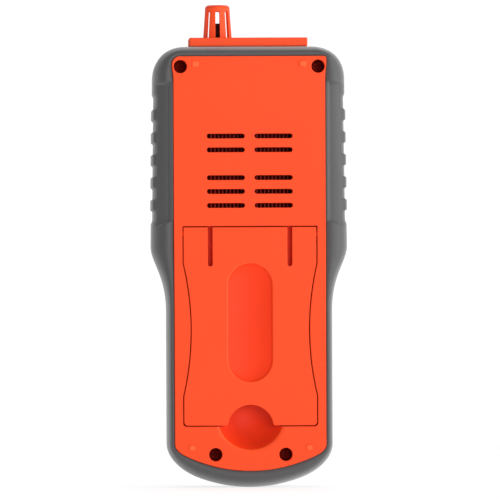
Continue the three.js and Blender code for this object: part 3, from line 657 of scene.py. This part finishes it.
def rear_case():
    body = plate(case_outline(case_reach), PARTING, LEDGE, 0, 0.3)
    body = join(body, plate(panel_outline(), LEDGE - 0.2, PANEL_REAR, 0, PANEL_EDGE))

    room = plate(case_outline(case_reach - SKIN), PARTING - 1, LEDGE - SKIN)
    room = join(room, plate(panel_outline(SKIN), LEDGE - SKIN - 0.2, PANEL_REAR - SKIN))
    pocket = (STAND_HALF + STAND_SIDE, stand_high[2] + POCKET_TOP_GAP)
    kept = [
        plate(inset(recess_outline(), -FLOOR_SKIN), FLOOR - FLOOR_SKIN, PANEL_REAR),
        block(
            (-pocket[0] - FLOOR_SKIN, POCKET_FLOOR - FLOOR_SKIN, POCKET_LOW - FLOOR_SKIN),
            (pocket[0] + FLOOR_SKIN, PANEL_REAR, pocket[1] + FLOOR_SKIN),
        ),
        turned(scoop_profile(FLOOR_SKIN), 64, centre=(0, SCOOP_Z)),
    ]
    for x, z in SCREWS.values():
        kept.append(plate(circle(x, z, BOSS_RADIUS), PARTING - 2, PANEL_REAR))
    body = cut(body, cut(room, *kept))

    holes = [
        flared(recess_outline(), FLOOR, PANEL_REAR, STAND_EDGE),
        turned(scoop_profile(), 96, centre=(0, SCOOP_Z)),
        neck_window(),
        block(
            (door_low[0] - DOOR_GAP, 10, door_low[2] - DOOR_GAP),
            (door_high[0] + DOOR_GAP, FLOOR + 1, door_high[2] + DOOR_GAP),
        ),
    ]
    # The hinge pocket stays whole under the stand's slots
    edges = (-pocket[0], -SLOT_X - SLOT_SIDE, -SLOT_X + SLOT_SIDE)
    edges += (SLOT_X - SLOT_SIDE, SLOT_X + SLOT_SIDE, pocket[0])
    for start, end in zip(edges[::2], edges[1::2]):
        holes.append(block((start, POCKET_FLOOR, POCKET_LOW), (end, PANEL_REAR - POCKET_ROOF, pocket[1])))
    reach = stand_high[0] + GAP
    holes.append(rod_x(-reach, reach, AXIS.y, AXIS.z, PIN_RADIUS + 0.25))
    for row in VENT_ROWS:
        for side in (-1, 1):
            slot = rounded_rectangle(side * VENT_X, row, *VENT_SIZE, VENT_SIZE[1] / 2 - 0.01)
            holes.append(flared(slot, LEDGE - 1, PANEL_REAR, 0.22))
    for x, z in SCREWS.values():
        holes.append(flared(circle(x, z, BORE_RADIUS), BORE_SEAT, PANEL_REAR, 0.25))
        holes.append(plate(circle(x, z, SHANK_HOLE, 24), PARTING - 1, BORE_SEAT + 1))
    body = cut(body, *holes)
    for x, z, size in PIPS:
        pad = rounded_rectangle(x, z, size, size * 0.88, 0.9, 6)
        body = join(body, plate(pad, PANEL_REAR - 0.5, PANEL_REAR + PIP_HEIGHT, 0, PIP_HEIGHT))
    return body


def vent_grille():
    """The frame with thin upright ribs behind the vents."""
    width, height = grille_high[0] - grille_low[0], grille_high[2] - grille_low[2]
    middle = (grille_low[2] + grille_high[2]) / 2
    body = plate(rounded_rectangle(0, middle, width, height, 1.0), grille_low[1], grille_high[1], 0.2, 0.4)
    pitch = (width - 2 * GRILLE_BORDER + GRILLE_RIB) / (GRILLE_RIBS + 1)
    gaps = []
    for index in range(GRILLE_RIBS + 1):
        x = grille_low[0] + GRILLE_BORDER + index * pitch + (pitch - GRILLE_RIB) / 2
        gap = rounded_rectangle(x, middle, pitch - GRILLE_RIB, height - 2 * GRILLE_BORDER, 0.4)
        gaps.append(flared(gap, grille_low[1] - 1, grille_high[1], 0.2))
    return combine(body, gaps)


# ---------------------------------------------------------------- tilt stand
def tilt_stand():
    right, left = stand_outline()
    low, top = stand_low[2], stand_high[2]
    slot_end = np.linspace(0, math.pi, 13)
    notch_reach = math.sqrt(NOTCH_RADIUS**2 - (low + NOTCH_FLARE - NOTCH_Z) ** 2)
    start = math.atan2(low + NOTCH_FLARE - NOTCH_Z, notch_reach)
    notch_turn = np.linspace(start, math.pi - start, 41)
    notch = np.stack(
        [NOTCH_RADIUS * np.cos(notch_turn), NOTCH_Z + NOTCH_RADIUS * np.sin(notch_turn)], axis=1
    )
    flare = bezier(
        [(notch_reach + NOTCH_FLARE, low), (notch_reach + 0.15, low), notch[0]], np.linspace(0, 1, 7)[:-1]
    )
    slots = []
    for side in (-1, 1):
        arc = np.stack(
            [side * SLOT_X - SLOT_HALF * np.cos(slot_end), SLOT_LOW + SLOT_HALF * (1 - np.sin(slot_end))],
            axis=1,
        )
        x0, x1 = side * SLOT_X - SLOT_HALF, side * SLOT_X + SLOT_HALF
        slots.append(np.concatenate([[[x0, top]], arc, [[x1, top]]]))
    outline = np.concatenate(
        [right, flare, notch, flare[::-1] * np.array([-1, 1]), left, slots[0], slots[1]]
    )
    body = plate(anticlockwise(outline), stand_low[1], stand_high[1], 0.25, STAND_EDGE)

    # The dish: an elliptical hollow with a rounded rim
    face = stand_high[1]
    profile = []
    for turn in np.linspace(0.01, math.pi / 2, 30):
        sink = (DISH_DEPTH - DISH_RIM) * math.cos(turn)
        profile.append((DISH_HALF * math.sin(turn), face - DISH_RIM - sink))
    for turn in np.linspace(0, math.pi / 2, 7)[1:]:
        profile.append((DISH_HALF + DISH_RIM * (1 - math.cos(turn)), face - DISH_RIM * (1 - math.sin(turn))))
    profile.append((DISH_HALF + DISH_RIM, face + 2))
    middles = (DISH_Z[0] + DISH_HALF, DISH_Z[1] - DISH_HALF)
    rings = [(stadium(0, 0, r, middles[0] - r, middles[1] + r), y) for r, y in profile]
    body = cut(body, stack(rings))
    for side in (-1, 1):
        ends = sorted((side * (STAND_HALF - 1), side * stand_high[0]))
        body = join(body, rod_x(*ends, AXIS.y, AXIS.z, PIN_RADIUS))
    return body


# ---------------------------------------------------------------- top bar and sensor guard
def top_cap():
    half, front, rear, bottom = NECK
    bar_low = TOP + BAR_GAP
    width, depth = cap_high[0] - cap_low[0], cap_high[1] - cap_low[1]
    middle = (cap_high[1] + cap_low[1]) / 2
    body = plate(
        rounded_rectangle(0, middle, width, depth, 0.8), bar_low, cap_high[2], CAP_EDGE, CAP_EDGE, "z"
    )
    neck = rounded_rectangle(0, (front + rear) / 2, 2 * half, rear - front, 0.8)
    body = join(body, plate(neck, bottom, bar_low + 0.6, 0.3, 0, "z"))
    hollow_size = (2 * (half - NECK_WALL), rear - front - 2 * NECK_WALL)
    hollow = rounded_rectangle(0, (front + rear) / 2, *hollow_size, 0.5)
    cage_x, cage_y = (cage_low[:2] + cage_high[:2]) / 2
    holes = [
        plate(hollow, bottom - 1, bar_low + 0.8, axis="z"),
        flared(circle(cage_x, cage_y, CAGE_BASE + 0.25, 64), bar_low - 1, cap_high[2], 0.15, "z"),
    ]
    for x in INLETS:
        holes.append(flared(rounded_rectangle(x, -1, 1.6, 12, 0.79), bar_low - 1, cap_high[2], 0.2, "z"))
    return cut(body, *holes)


def guard_profile(shrink):
    """Radius and height of the guard from its base to its crown."""
    base, shoulder = CAGE_BASE - shrink, CAGE_SHOULDER - shrink
    crown = cage_high[2] - shrink
    corner = CAGE_ROUND - 0.6 * shrink
    points = [(base, cage_low[2] - (1 if shrink else 0)), (base, cap_high[2] - 1)]
    shoulder_z = crown - corner
    points += [tuple(p) for p in bezier([(base, cap_high[2]), (shoulder, shoulder_z)], np.linspace(0, 1, 6))]
    for turn in np.linspace(0, math.pi / 2, 9)[1:]:
        lift = corner * math.sin(turn)
        points.append((shoulder - corner * (1 - math.cos(turn)), shoulder_z + lift * 0.93))
    for share in (0.75, 0.5, 0.25, 0.0):
        radius = (shoulder - corner) * share
        points.append((max(radius, 0.02), crown - corner * 0.07 * share**2))
    return points


def sensor_cage():
    centre = (cage_low[:2] + cage_high[:2]) / 2
    body = turned(guard_profile(0), 96, "z", centre)
    body = cut(body, turned(guard_profile(CAGE_WALL), 96, "z", centre))
    slots = []
    low = cap_high[2] - 0.5
    for index in range(CAGE_SLOTS):
        slot = rounded_rectangle(0, (low + CAGE_SLOT_TOP) / 2, CAGE_SLOT_WIDTH, CAGE_SLOT_TOP - low, 0.55)
        cutter = plate(slot, -2 * CAGE_BASE, 2 * CAGE_BASE)
        cutter.data.transform(Matrix.Rotation(index * math.pi / CAGE_SLOTS, 4, "Z"))
        cutter.data.transform(Matrix.Translation(Vector((centre[0], centre[1], 0)) * MM))
        slots.append(cutter)
    return combine(body, slots)


def humidity_sensor():
    """A small dark plate with a round window in it."""
    x, y = (sensor_low[:2] + sensor_high[:2]) / 2
    width = sensor_high[0] - sensor_low[0]
    height = sensor_high[2] - sensor_low[2]
    outline = rounded_rectangle(x, (sensor_low[2] + sensor_high[2]) / 2, width, height, 0.5)
    body = plate(outline, sensor_low[1], sensor_high[1], 0.25, 0.25)
    windows = []
    for face, inwards in ((sensor_low[1], 0.4), (sensor_high[1], -0.4)):
        windows.append(flared(circle(x, sensor_high[2] - 2.4, 1.1, 32), face + inwards, face, 0.12))
    return cut(body, *windows)


# ---------------------------------------------------------------- front case, lens and keys
def front_case():
    parting = PARTING - GAP
    body = plate(case_outline(case_reach), -LEDGE, parting, 0.3, 0)
    body = join(body, plate(panel_outline(), front_low[1], -LEDGE + 0.2, PANEL_EDGE, 0))
    room = plate(case_outline(case_reach - SKIN), -LEDGE + SKIN, parting + 1)
    room = join(room, plate(panel_outline(SKIN), FRONT_INSIDE, -LEDGE + SKIN + 0.2))
    posts = [plate(circle(x, z, BOSS_RADIUS - 0.4), front_low[1], parting + 2) for x, z in SCREWS.values()]
    for side in (-1, 1):
        for z in (26, 160):
            posts.append(plate(circle(side * 22.5, z, 2.6, 32), front_low[1], -11.9))
    body = cut(body, cut(room, *posts))

    lens_z = (lens_low[2] + lens_high[2]) / 2
    lens_size = (lens_high[0] - lens_low[0] + 2 * GAP, lens_high[2] - lens_low[2] + 2 * GAP)
    window_z = (WINDOW[1] + WINDOW[2]) / 2
    window = rounded_rectangle(0, window_z, 2 * WINDOW[0], WINDOW[2] - WINDOW[1], 1.0)
    holes = [
        flared(rounded_rectangle(0, lens_z, *lens_size, 3.3), lens_high[1] + GAP, front_low[1], 0.25),
        plate(window, front_low[1] - 1, FRONT_INSIDE + 1),
        neck_window(),
    ]
    for name in KEYS:
        holes.append(flared(key_outline(name, GAP), FRONT_INSIDE + 1, front_low[1], 0.3))
    for x, z in SCREWS.values():
        holes.append(plate(circle(x, z, SHANK_HOLE, 24), -10, parting + 1))
    for side in (-1, 1):
        for z in (26, 160):
            holes.append(plate(circle(side * 22.5, z, 1.1, 16), -15, -11))
    return cut(body, *holes)


def display_lens():
    z = (lens_low[2] + lens_high[2]) / 2
    outline = rounded_rectangle(0, z, lens_high[0] - lens_low[0], lens_high[2] - lens_low[2], 3)
    return plate(outline, lens_low[1], lens_high[1], 0.3, 0.1)


def display_module():
    """A liquid crystal panel in its frame."""
    z = (display_low[2] + display_high[2]) / 2
    width, height = display_high[0] - display_low[0], display_high[2] - display_low[2]
    body = plate(rounded_rectangle(0, z, width, height, 1.0), display_low[1], display_high[1], 0.3, 0.3)
    glass = rounded_rectangle(0, z + 1.5, width - 5, height - 8, 0.6)
    return cut(body, flared(glass, display_low[1] + 0.5, display_low[1], 0.2))


def key_outline(name, margin):
    """The outline of a key with its round ends, grown by a margin."""
    x, z, width, height = KEYS[name]
    half = height / 2 + margin
    return rounded_rectangle(x, z, width + 2 * margin, 2 * half, 0.995 * half, 16)


def key_cap(name):
    """A key with a gently crowned top and the flange that keeps it in."""
    low, high = box(name)
    half = KEYS[name][3] / 2
    rings = []
    for share in np.linspace(0.92, 0, 12):
        rings.append((key_outline(name, -half * share), low[1] + KEY_CROWN * (1 - share) ** 3))
    front = high[1] - KEY_FLANGE_THICK
    rings.append((key_outline(name, 0), low[1] + KEY_CROWN + 0.3))
    rings.append((key_outline(name, 0), front))
    edge = KEY_FLANGE_EDGE
    for margin, place in ((-edge, front), (0, front + edge), (0, high[1] - edge), (-edge, high[1])):
        rings.append((key_outline(name, KEY_FLANGE + margin), place))
    return stack(rings)


# ---------------------------------------------------------------- screws and battery door
def case_screw(number):
    """A pan head with a cross recess, on its shank."""
    x, z = SCREWS[number]
    low, high = box(f"case_screw_{number}")
    seat = high[1] - 2.2
    head = [(2.4, seat), (2.4, seat + 1.0)]
    for turn in np.linspace(0, math.pi / 2, 8)[1:]:
        head.append((1.2 + 1.2 * math.cos(turn), seat + 1.0 + 1.2 * math.sin(turn)))
    body = turned(head, 48, centre=(x, z))
    arms = []
    for width, height in ((0.75, 3.0), (3.0, 0.75)):
        arms.append(plate(rounded_rectangle(x, z, width, height, 0.2), high[1] - 1.1, high[1] + 1))
    body = combine(body, arms)
    profile = [(0.3, low[1]), (1.2, low[1] + 1.5), (1.4, low[1] + 2), (1.4, seat + 0.2)]
    shank = turned(profile, 32, centre=(x, z))
    return join(body, shank)


def battery_door():
    z = (door_low[2] + door_high[2]) / 2
    outline = rounded_rectangle(0, z, door_high[0] - door_low[0], door_high[2] - door_low[2], 0.2)
    body = plate(outline, door_low[1], door_high[1], 0.2, 0.08)
    screw_low, screw_high = box("battery_door_screw")
    screw_z = (screw_low[2] + screw_high[2]) / 2
    hole = flared(circle(0, screw_z, 2.0, 40), door_low[1] - 1, door_high[1], 0.25)
    holes = [hole]
    for row in range(3):
        groove = rounded_rectangle(0, door_low[2] + 4 + 2.4 * row, 14 - 3 * row, 1.0, 0.49)
        holes.append(flared(groove, door_high[1] - 0.5, door_high[1], 0.2))
    return cut(body, *holes)


def battery_door_screw():
    low, high = box("battery_door_screw")
    z = (low[2] + high[2]) / 2
    seat = high[1] - 1.5
    head = [(1.75, seat), (1.75, seat + 0.9)]
    for turn in np.linspace(0, math.pi / 2, 7)[1:]:
        head.append((1.15 + 0.6 * math.cos(turn), seat + 0.9 + 0.6 * math.sin(turn)))
    body = turned(head, 40, centre=(0, z))
    body = cut(body, plate(rounded_rectangle(0, z, 0.6, 2.6, 0.15), high[1] - 0.8, high[1] + 1))
    return join(body, turned([(0.2, low[1]), (1.0, low[1] + 1), (1.0, seat + 0.2)], 24, centre=(0, z)))


# ---------------------------------------------------------------- materials
# The case's orange, and two darker copies of it that are painted shade in its hollows, the deepest darkest
ORANGE_FACE = (0.93, 0.069, 0.0145)
ORANGE_PAINTED_SHADE = (0.89, 0.044, 0.0075)
ORANGE_PAINTED_DEEP_SHADE = (0.75, 0.034, 0.006)
# Painted shade and painted highlights on the case: where it turns from one tone to the next, as heights from its
# rear face, and the tone above them. Hollows get a darker painted shade; rounded edges and pip tops get paler
# painted highlights
CASE_SHADE_AND_HIGHLIGHT_TONES = (
    # painted shade in the hollows, from the deepest tone up to the lighter hollow tone
    (-3.2, -0.9, ORANGE_PAINTED_SHADE),
    # painted highlight on the rounded edges
    (-0.9, -0.6, (0.97, 0.1, 0.026)),
    (-0.2, -0.11, ORANGE_FACE),
    # painted highlight on the tops of the pips
    (0.1, 0.3, (0.97, 0.115, 0.03)),
)


class Shader:
    """A Principled material whose nodes are added one by one."""

    def __init__(self, name):
        self.material = bpy.data.materials.new(name)
        self.material.use_nodes = True
        self.nodes = self.material.node_tree.nodes
        self.links = self.material.node_tree.links
        self.surface = self.nodes["Principled BSDF"]
        self.place = self.nodes.new("ShaderNodeTexCoord").outputs["Object"]

    def set(self, **values):
        for key, value in values.items():
            self.surface.inputs[key.replace("_", " ")].default_value = value

    def noise(self, scale, detail=3.0, rough=0.5, stretch=None):
        node = self.nodes.new("ShaderNodeTexNoise")
        node.inputs["Scale"].default_value = scale
        node.inputs["Detail"].default_value = detail
        node.inputs["Roughness"].default_value = rough
        place = self.place
        if stretch:
            mapping = self.nodes.new("ShaderNodeMapping")
            mapping.inputs["Scale"].default_value = stretch
            self.links.new(place, mapping.inputs["Vector"])
            place = mapping.outputs["Vector"]
        self.links.new(place, node.inputs["Vector"])
        return node.outputs["Fac"]

    def spread(self, value, low, high):
        """A noise value, spread from low to high."""
        node = self.nodes.new("ShaderNodeMapRange")
        node.inputs["From Min"].default_value = 0.3
        node.inputs["From Max"].default_value = 0.7
        node.inputs["To Min"].default_value = low
        node.inputs["To Max"].default_value = high
        self.links.new(value, node.inputs["Value"])
        return node.outputs["Result"]

    def colours(self, value, first, second):
        node = self.nodes.new("ShaderNodeMix")
        node.data_type = "RGBA"
        self.links.new(value, node.inputs["Factor"])
        node.inputs[6].default_value = (*first, 1)
        node.inputs[7].default_value = (*second, 1)
        return node.outputs[2]

    def bump(self, height, strength, distance):
        node = self.nodes.new("ShaderNodeBump")
        node.inputs["Strength"].default_value = strength
        node.inputs["Distance"].default_value = distance
        self.links.new(height, node.inputs["Height"])
        self.links.new(node.outputs["Normal"], self.surface.inputs["Normal"])

    def link(self, value, socket):
        self.links.new(value, self.surface.inputs[socket])


def shade(colour, factor):
    return tuple(c * factor for c in colour)


def moulded(name, colour, roughness, grain=2600.0, depth=0.00003, mottle=0.03, **extra):
    """A moulded plastic or rubber: its colour drifts a little and its surface is finely textured."""
    shader = Shader(name)
    drift = shader.spread(shader.noise(22.0, 2.0), 0.0, 1.0)
    shader.link(shader.colours(drift, shade(colour, 1 - mottle), shade(colour, 1 + mottle)), "Base Color")
    fine = shader.noise(grain, 2.0, 0.6)
    shader.link(shader.spread(fine, roughness - 0.05, roughness + 0.05), "Roughness")
    shader.bump(fine, 0.5, depth)
    shader.set(**extra)
    return shader.material


def case_plastic(name, hollow):
    """The orange of the case, with painted shade and painted highlights set by height: its back is paler than its
    hollows and sides, which are painted darker as painted shade, and its rounded edges and the tops of its pips
    are painted palest as painted highlights."""
    shader = Shader(name)
    depth = shader.nodes.new("ShaderNodeSeparateXYZ")
    shader.links.new(shader.place, depth.inputs["Vector"])
    colour = None
    for low, high, tone in CASE_SHADE_AND_HIGHLIGHT_TONES:
        ramp = shader.nodes.new("ShaderNodeMapRange")
        ramp.inputs["From Min"].default_value = (PANEL_REAR + low) * MM
        ramp.inputs["From Max"].default_value = (PANEL_REAR + high) * MM
        shader.links.new(depth.outputs["Y"], ramp.inputs["Value"])
        mixed = shader.colours(ramp.outputs["Result"], hollow, tone)
        if colour:
            shader.links.new(colour, mixed.node.inputs[6])
        colour = mixed
    drift = shader.spread(shader.noise(22.0, 2.0), 0.97, 1.03)
    varied = shader.nodes.new("ShaderNodeVectorMath")
    varied.operation = "SCALE"
    shader.links.new(colour, varied.inputs[0])
    shader.links.new(drift, varied.inputs["Scale"])
    shader.link(varied.outputs["Vector"], "Base Color")
    fine = shader.noise(2600.0, 2.0, 0.6)
    shader.link(shader.spread(fine, 0.45, 0.55), "Roughness")
    shader.bump(fine, 0.5, 0.00003)
    shader.set(Specular_IOR_Level=0.15)
    return shader.material


def metal(name, colour, roughness, stretch=(1, 1, 1)):
    shader = Shader(name)
    streak = shader.noise(900.0, 4.0, 0.6, stretch)
    shader.link(shader.colours(streak, shade(colour, 0.86), shade(colour, 1.05)), "Base Color")
    shader.link(shader.spread(streak, roughness - 0.08, roughness + 0.1), "Roughness")
    shader.bump(streak, 0.25, 0.00002)
    shader.set(Metallic=1.0)
    return shader.material


def window_lens(name):
    """A clear lens with a dark printed border round its window."""
    shader = Shader(name)
    part = shader.nodes.new("ShaderNodeSeparateXYZ")
    shader.links.new(shader.place, part.inputs["Vector"])

    def inside(axis, low, high):
        middle = shader.nodes.new("ShaderNodeMath")
        middle.operation = "SUBTRACT"
        shader.links.new(part.outputs[axis], middle.inputs[0])
        middle.inputs[1].default_value = (low + high) / 2 * MM
        size = shader.nodes.new("ShaderNodeMath")
        size.operation = "ABSOLUTE"
        shader.links.new(middle.outputs[0], size.inputs[0])
        test = shader.nodes.new("ShaderNodeMath")
        test.operation = "LESS_THAN"
        shader.links.new(size.outputs[0], test.inputs[0])
        test.inputs[1].default_value = (high - low) / 2 * MM
        return test.outputs[0]

    both = shader.nodes.new("ShaderNodeMath")
    both.operation = "MULTIPLY"
    shader.links.new(inside("X", -22, 22), both.inputs[0])
    shader.links.new(inside("Z", 107, 157), both.inputs[1])
    shader.link(shader.colours(both.outputs[0], (0.008, 0.009, 0.01), (0.9, 0.95, 0.93)), "Base Color")
    shader.link(both.outputs[0], "Transmission Weight")
    shader.link(shader.spread(shader.noise(60.0), 0.03, 0.07), "Roughness")
    shader.set(IOR=1.49)
    return shader.material


MATERIALS = {
    # The case orange, with painted shade in its hollows and painted highlights on its edges and pips
    "orange_plastic": case_plastic("orange plastic", ORANGE_PAINTED_DEEP_SHADE),
    "front_plastic": moulded("front plastic", (0.06, 0.061, 0.064), 0.5),
    "boot_rubber": moulded(
        "boot rubber", (0.06, 0.059, 0.061), 0.58, 1800.0, 0.00003, 0.04,
        Sheen_Weight=0.45, Sheen_Roughness=0.45
    ),
    "black_plastic": moulded("black plastic", (0.012, 0.012, 0.013), 0.5),
    "circuit_board": moulded("circuit board", (0.012, 0.1, 0.04), 0.4, 700.0, 0.00003, 0.12),
    "screw_steel": metal("screw steel", (0.03, 0.028, 0.028), 0.4),
    # The case screws are painted dark red as painted shade, standing in for the shaded orange at the bottom of
    # their bores
    "screw_lacquer": moulded("screw painted bore shade", (0.2, 0.014, 0.007), 0.7, Specular_IOR_Level=0.05),
    "battery_can": metal("battery sleeve", (0.08, 0.16, 0.33), 0.3, (1, 1, 0.1)),
    "display_panel": moulded("display panel", (0.32, 0.38, 0.3), 0.25, 900.0, 0.00001),
    "lens_plastic": window_lens("lens"),
    "keypad_rubber": moulded("keypad rubber", (0.025, 0.025, 0.027), 0.75),
    "key_plastic": moulded("key plastic", (0.27, 0.28, 0.3), 0.45),
    "power_key_plastic": moulded("power key plastic", (0.75, 0.1, 0.035), 0.45),
    "sensor_can": metal("sensor can", (0.66, 0.66, 0.67), 0.32),
}
# Pieces whose finish differs a little from that of their slot: painted shade darkens the stand's hollows, painted
# light makes the guard and top bar paler, and painted shade turns the grille and sensing element dark red
STAND_PLASTIC = case_plastic("stand plastic", ORANGE_PAINTED_SHADE)
# The guard and top bar take a paler copy of the case orange, painted light that stands in for the light they catch
GUARD_PAINTED_LIGHT = moulded("guard painted light", (0.98, 0.088, 0.0225), 0.5, Specular_IOR_Level=0.15)
# The grille is the case orange painted dark red as painted shade, for the shade behind the vents
GRILLE_PAINTED_SHADE = moulded("grille painted shade", (0.3, 0.012, 0.006), 0.6, Specular_IOR_Level=0.15)
# The sensing element is painted dark red as painted shade, with the red of light bounced inside the guard
ELEMENT_PAINTED_SHADE = moulded("element painted red shade", (0.05, 0.006, 0.005), 0.6, Specular_IOR_Level=0.15)

# ---------------------------------------------------------------- the pieces
finish_piece(rubber_boot(), "boot", "boot_rubber", ["rubber_boot"], sharp=50, weighted=False)
finish_piece(rear_case(), "rear_shell", "orange_plastic", ["rear_case"])
finish_piece(tilt_stand(), "stand", "orange_plastic", ["tilt_stand"], "stand", material=STAND_PLASTIC)
finish_piece(top_cap(), "top_bar", "orange_plastic", ["top_cap"], material=GUARD_PAINTED_LIGHT)
finish_piece(sensor_cage(), "sensor_guard", "orange_plastic", ["sensor_cage"], material=GUARD_PAINTED_LIGHT)
finish_piece(
    humidity_sensor(), "sensing_element", "black_plastic", ["humidity_sensor"], material=ELEMENT_PAINTED_SHADE
)
finish_piece(vent_grille(), "vent_grille", "orange_plastic", ["vent_baffle"], material=GRILLE_PAINTED_SHADE)
finish_piece(front_case(), "front_shell", "front_plastic", ["front_case"])
finish_piece(display_lens(), "lens", "lens_plastic", ["display_lens"])
finish_piece(display_module(), "display", "display_panel", ["display_module"])
finish_piece(battery_door(), "battery_cover", "orange_plastic", ["battery_door"])
finish_piece(battery_door_screw(), "battery_cover_screw", "screw_steel", ["battery_door_screw"])
for key in KEYS:
    key_slot = "power_key_plastic" if key == "power_button" else "key_plastic"
    key_body = key.replace("_button", "_key")
    finish_piece(key_cap(key), key.replace("button", "keycap"), key_slot, [key], key_body)
# The case screws take the dark red painted shade of their bores
for number in SCREWS:
    name = f"case_screw_{number}"
    finish_piece(case_screw(number), name.replace("screw", "bolt"), "screw_lacquer", [name])

# The inner pieces keep their CAD shape and take their slot's finish
node_slots = {part["node"]: part["material_slot"] for part in frame["record"]["subparts"]}
for node, piece in frame["nodes"].items():
    if not piece.hide_render:
        piece.data.materials.clear()
        piece.data.materials.append(MATERIALS[node_slots[node]])

# ---------------------------------------------------------------- floor, light and camera
bpy.ops.mesh.primitive_plane_add(size=FLOOR_SIZE)
floor = bpy.context.object
floor.name = "floor"
floor_shader = Shader("floor")
floor_tone = floor_shader.spread(floor_shader.noise(3.0), 0.0, 1.0)
floor_shader.link(floor_shader.colours(floor_tone, (0.34, 0.34, 0.34), (0.36, 0.36, 0.36)), "Base Color")
floor_shader.set(Roughness=0.9, Specular_IOR_Level=0.1, Emission_Color=(1, 1, 1, 1), Emission_Strength=0.75)
floor.data.materials.append(floor_shader.material)


def softbox(name, place, aim, size, power):
    light = bpy.data.lights.new(name, "AREA")
    light.shape = "RECTANGLE"
    light.size, light.size_y = size
    light.energy = power
    lamp = bpy.data.objects.new(name, light)
    bpy.context.scene.collection.objects.link(lamp)
    lamp.location = place
    lamp.rotation_euler = (Vector(aim) - Vector(place)).to_track_quat("-Z", "Y").to_euler()
    return lamp


softbox("key", (-0.6, 1.35, 0.05), (0, 0, 0.09), (0.8, 1.0), 17.0)
softbox("side", (-1.1, 0.35, 0.06), (0, 0, 0.09), (0.3, 0.8), 9.0)
softbox("top", (0.0, -0.9, 1.4), (0, 0, 0), (1.4, 1.0), 2.0)

world = bpy.data.worlds.new("studio")
bpy.context.scene.world = world
world.use_nodes = True
sky = world.node_tree.nodes
wires = world.node_tree.links
direction = sky.new("ShaderNodeTexCoord")
# The room is brightest towards (-0.3, -0.8, -0.6) and grows dimmer towards the opposite side
toward = sky.new("ShaderNodeVectorMath")
toward.operation = "DOT_PRODUCT"
toward.inputs[1].default_value = (-0.3, -0.8, -0.6)
wires.new(direction.outputs["Generated"], toward.inputs[0])
strength = sky.new("ShaderNodeMapRange")
strength.inputs["From Min"].default_value = -0.5
strength.inputs["From Max"].default_value = 0.5
strength.inputs["To Min"].default_value = 0.42
strength.inputs["To Max"].default_value = 1.05
wires.new(toward.outputs["Value"], strength.inputs["Value"])
wires.new(strength.outputs["Result"], sky["Background"].inputs["Strength"])
sky["Background"].inputs["Color"].default_value = (1, 1, 1, 1)

camera = bpy.data.objects.new("camera", bpy.data.cameras.new("camera"))
bpy.context.scene.collection.objects.link(camera)
bpy.context.scene.camera = camera
yaw = math.radians(CAMERA_YAW)
target = Vector(CAMERA_TARGET)
camera.location = target + Vector((math.sin(yaw), math.cos(yaw), 0)) * CAMERA_DISTANCE
camera.location.z = CAMERA_HEIGHT
aim = (target - camera.location).to_track_quat("-Z", "Y").to_matrix()
camera.rotation_euler = (aim @ Matrix.Rotation(math.radians(CAMERA_ROLL), 3, "Z")).to_euler()
camera.data.lens = CAMERA_LENS
camera.data.sensor_width = 36
camera.data.clip_start = 0.05
camera.data.clip_end = 50

bpy.context.scene.view_settings.view_transform = "Standard"
bpy.context.scene.view_settings.look = "None"
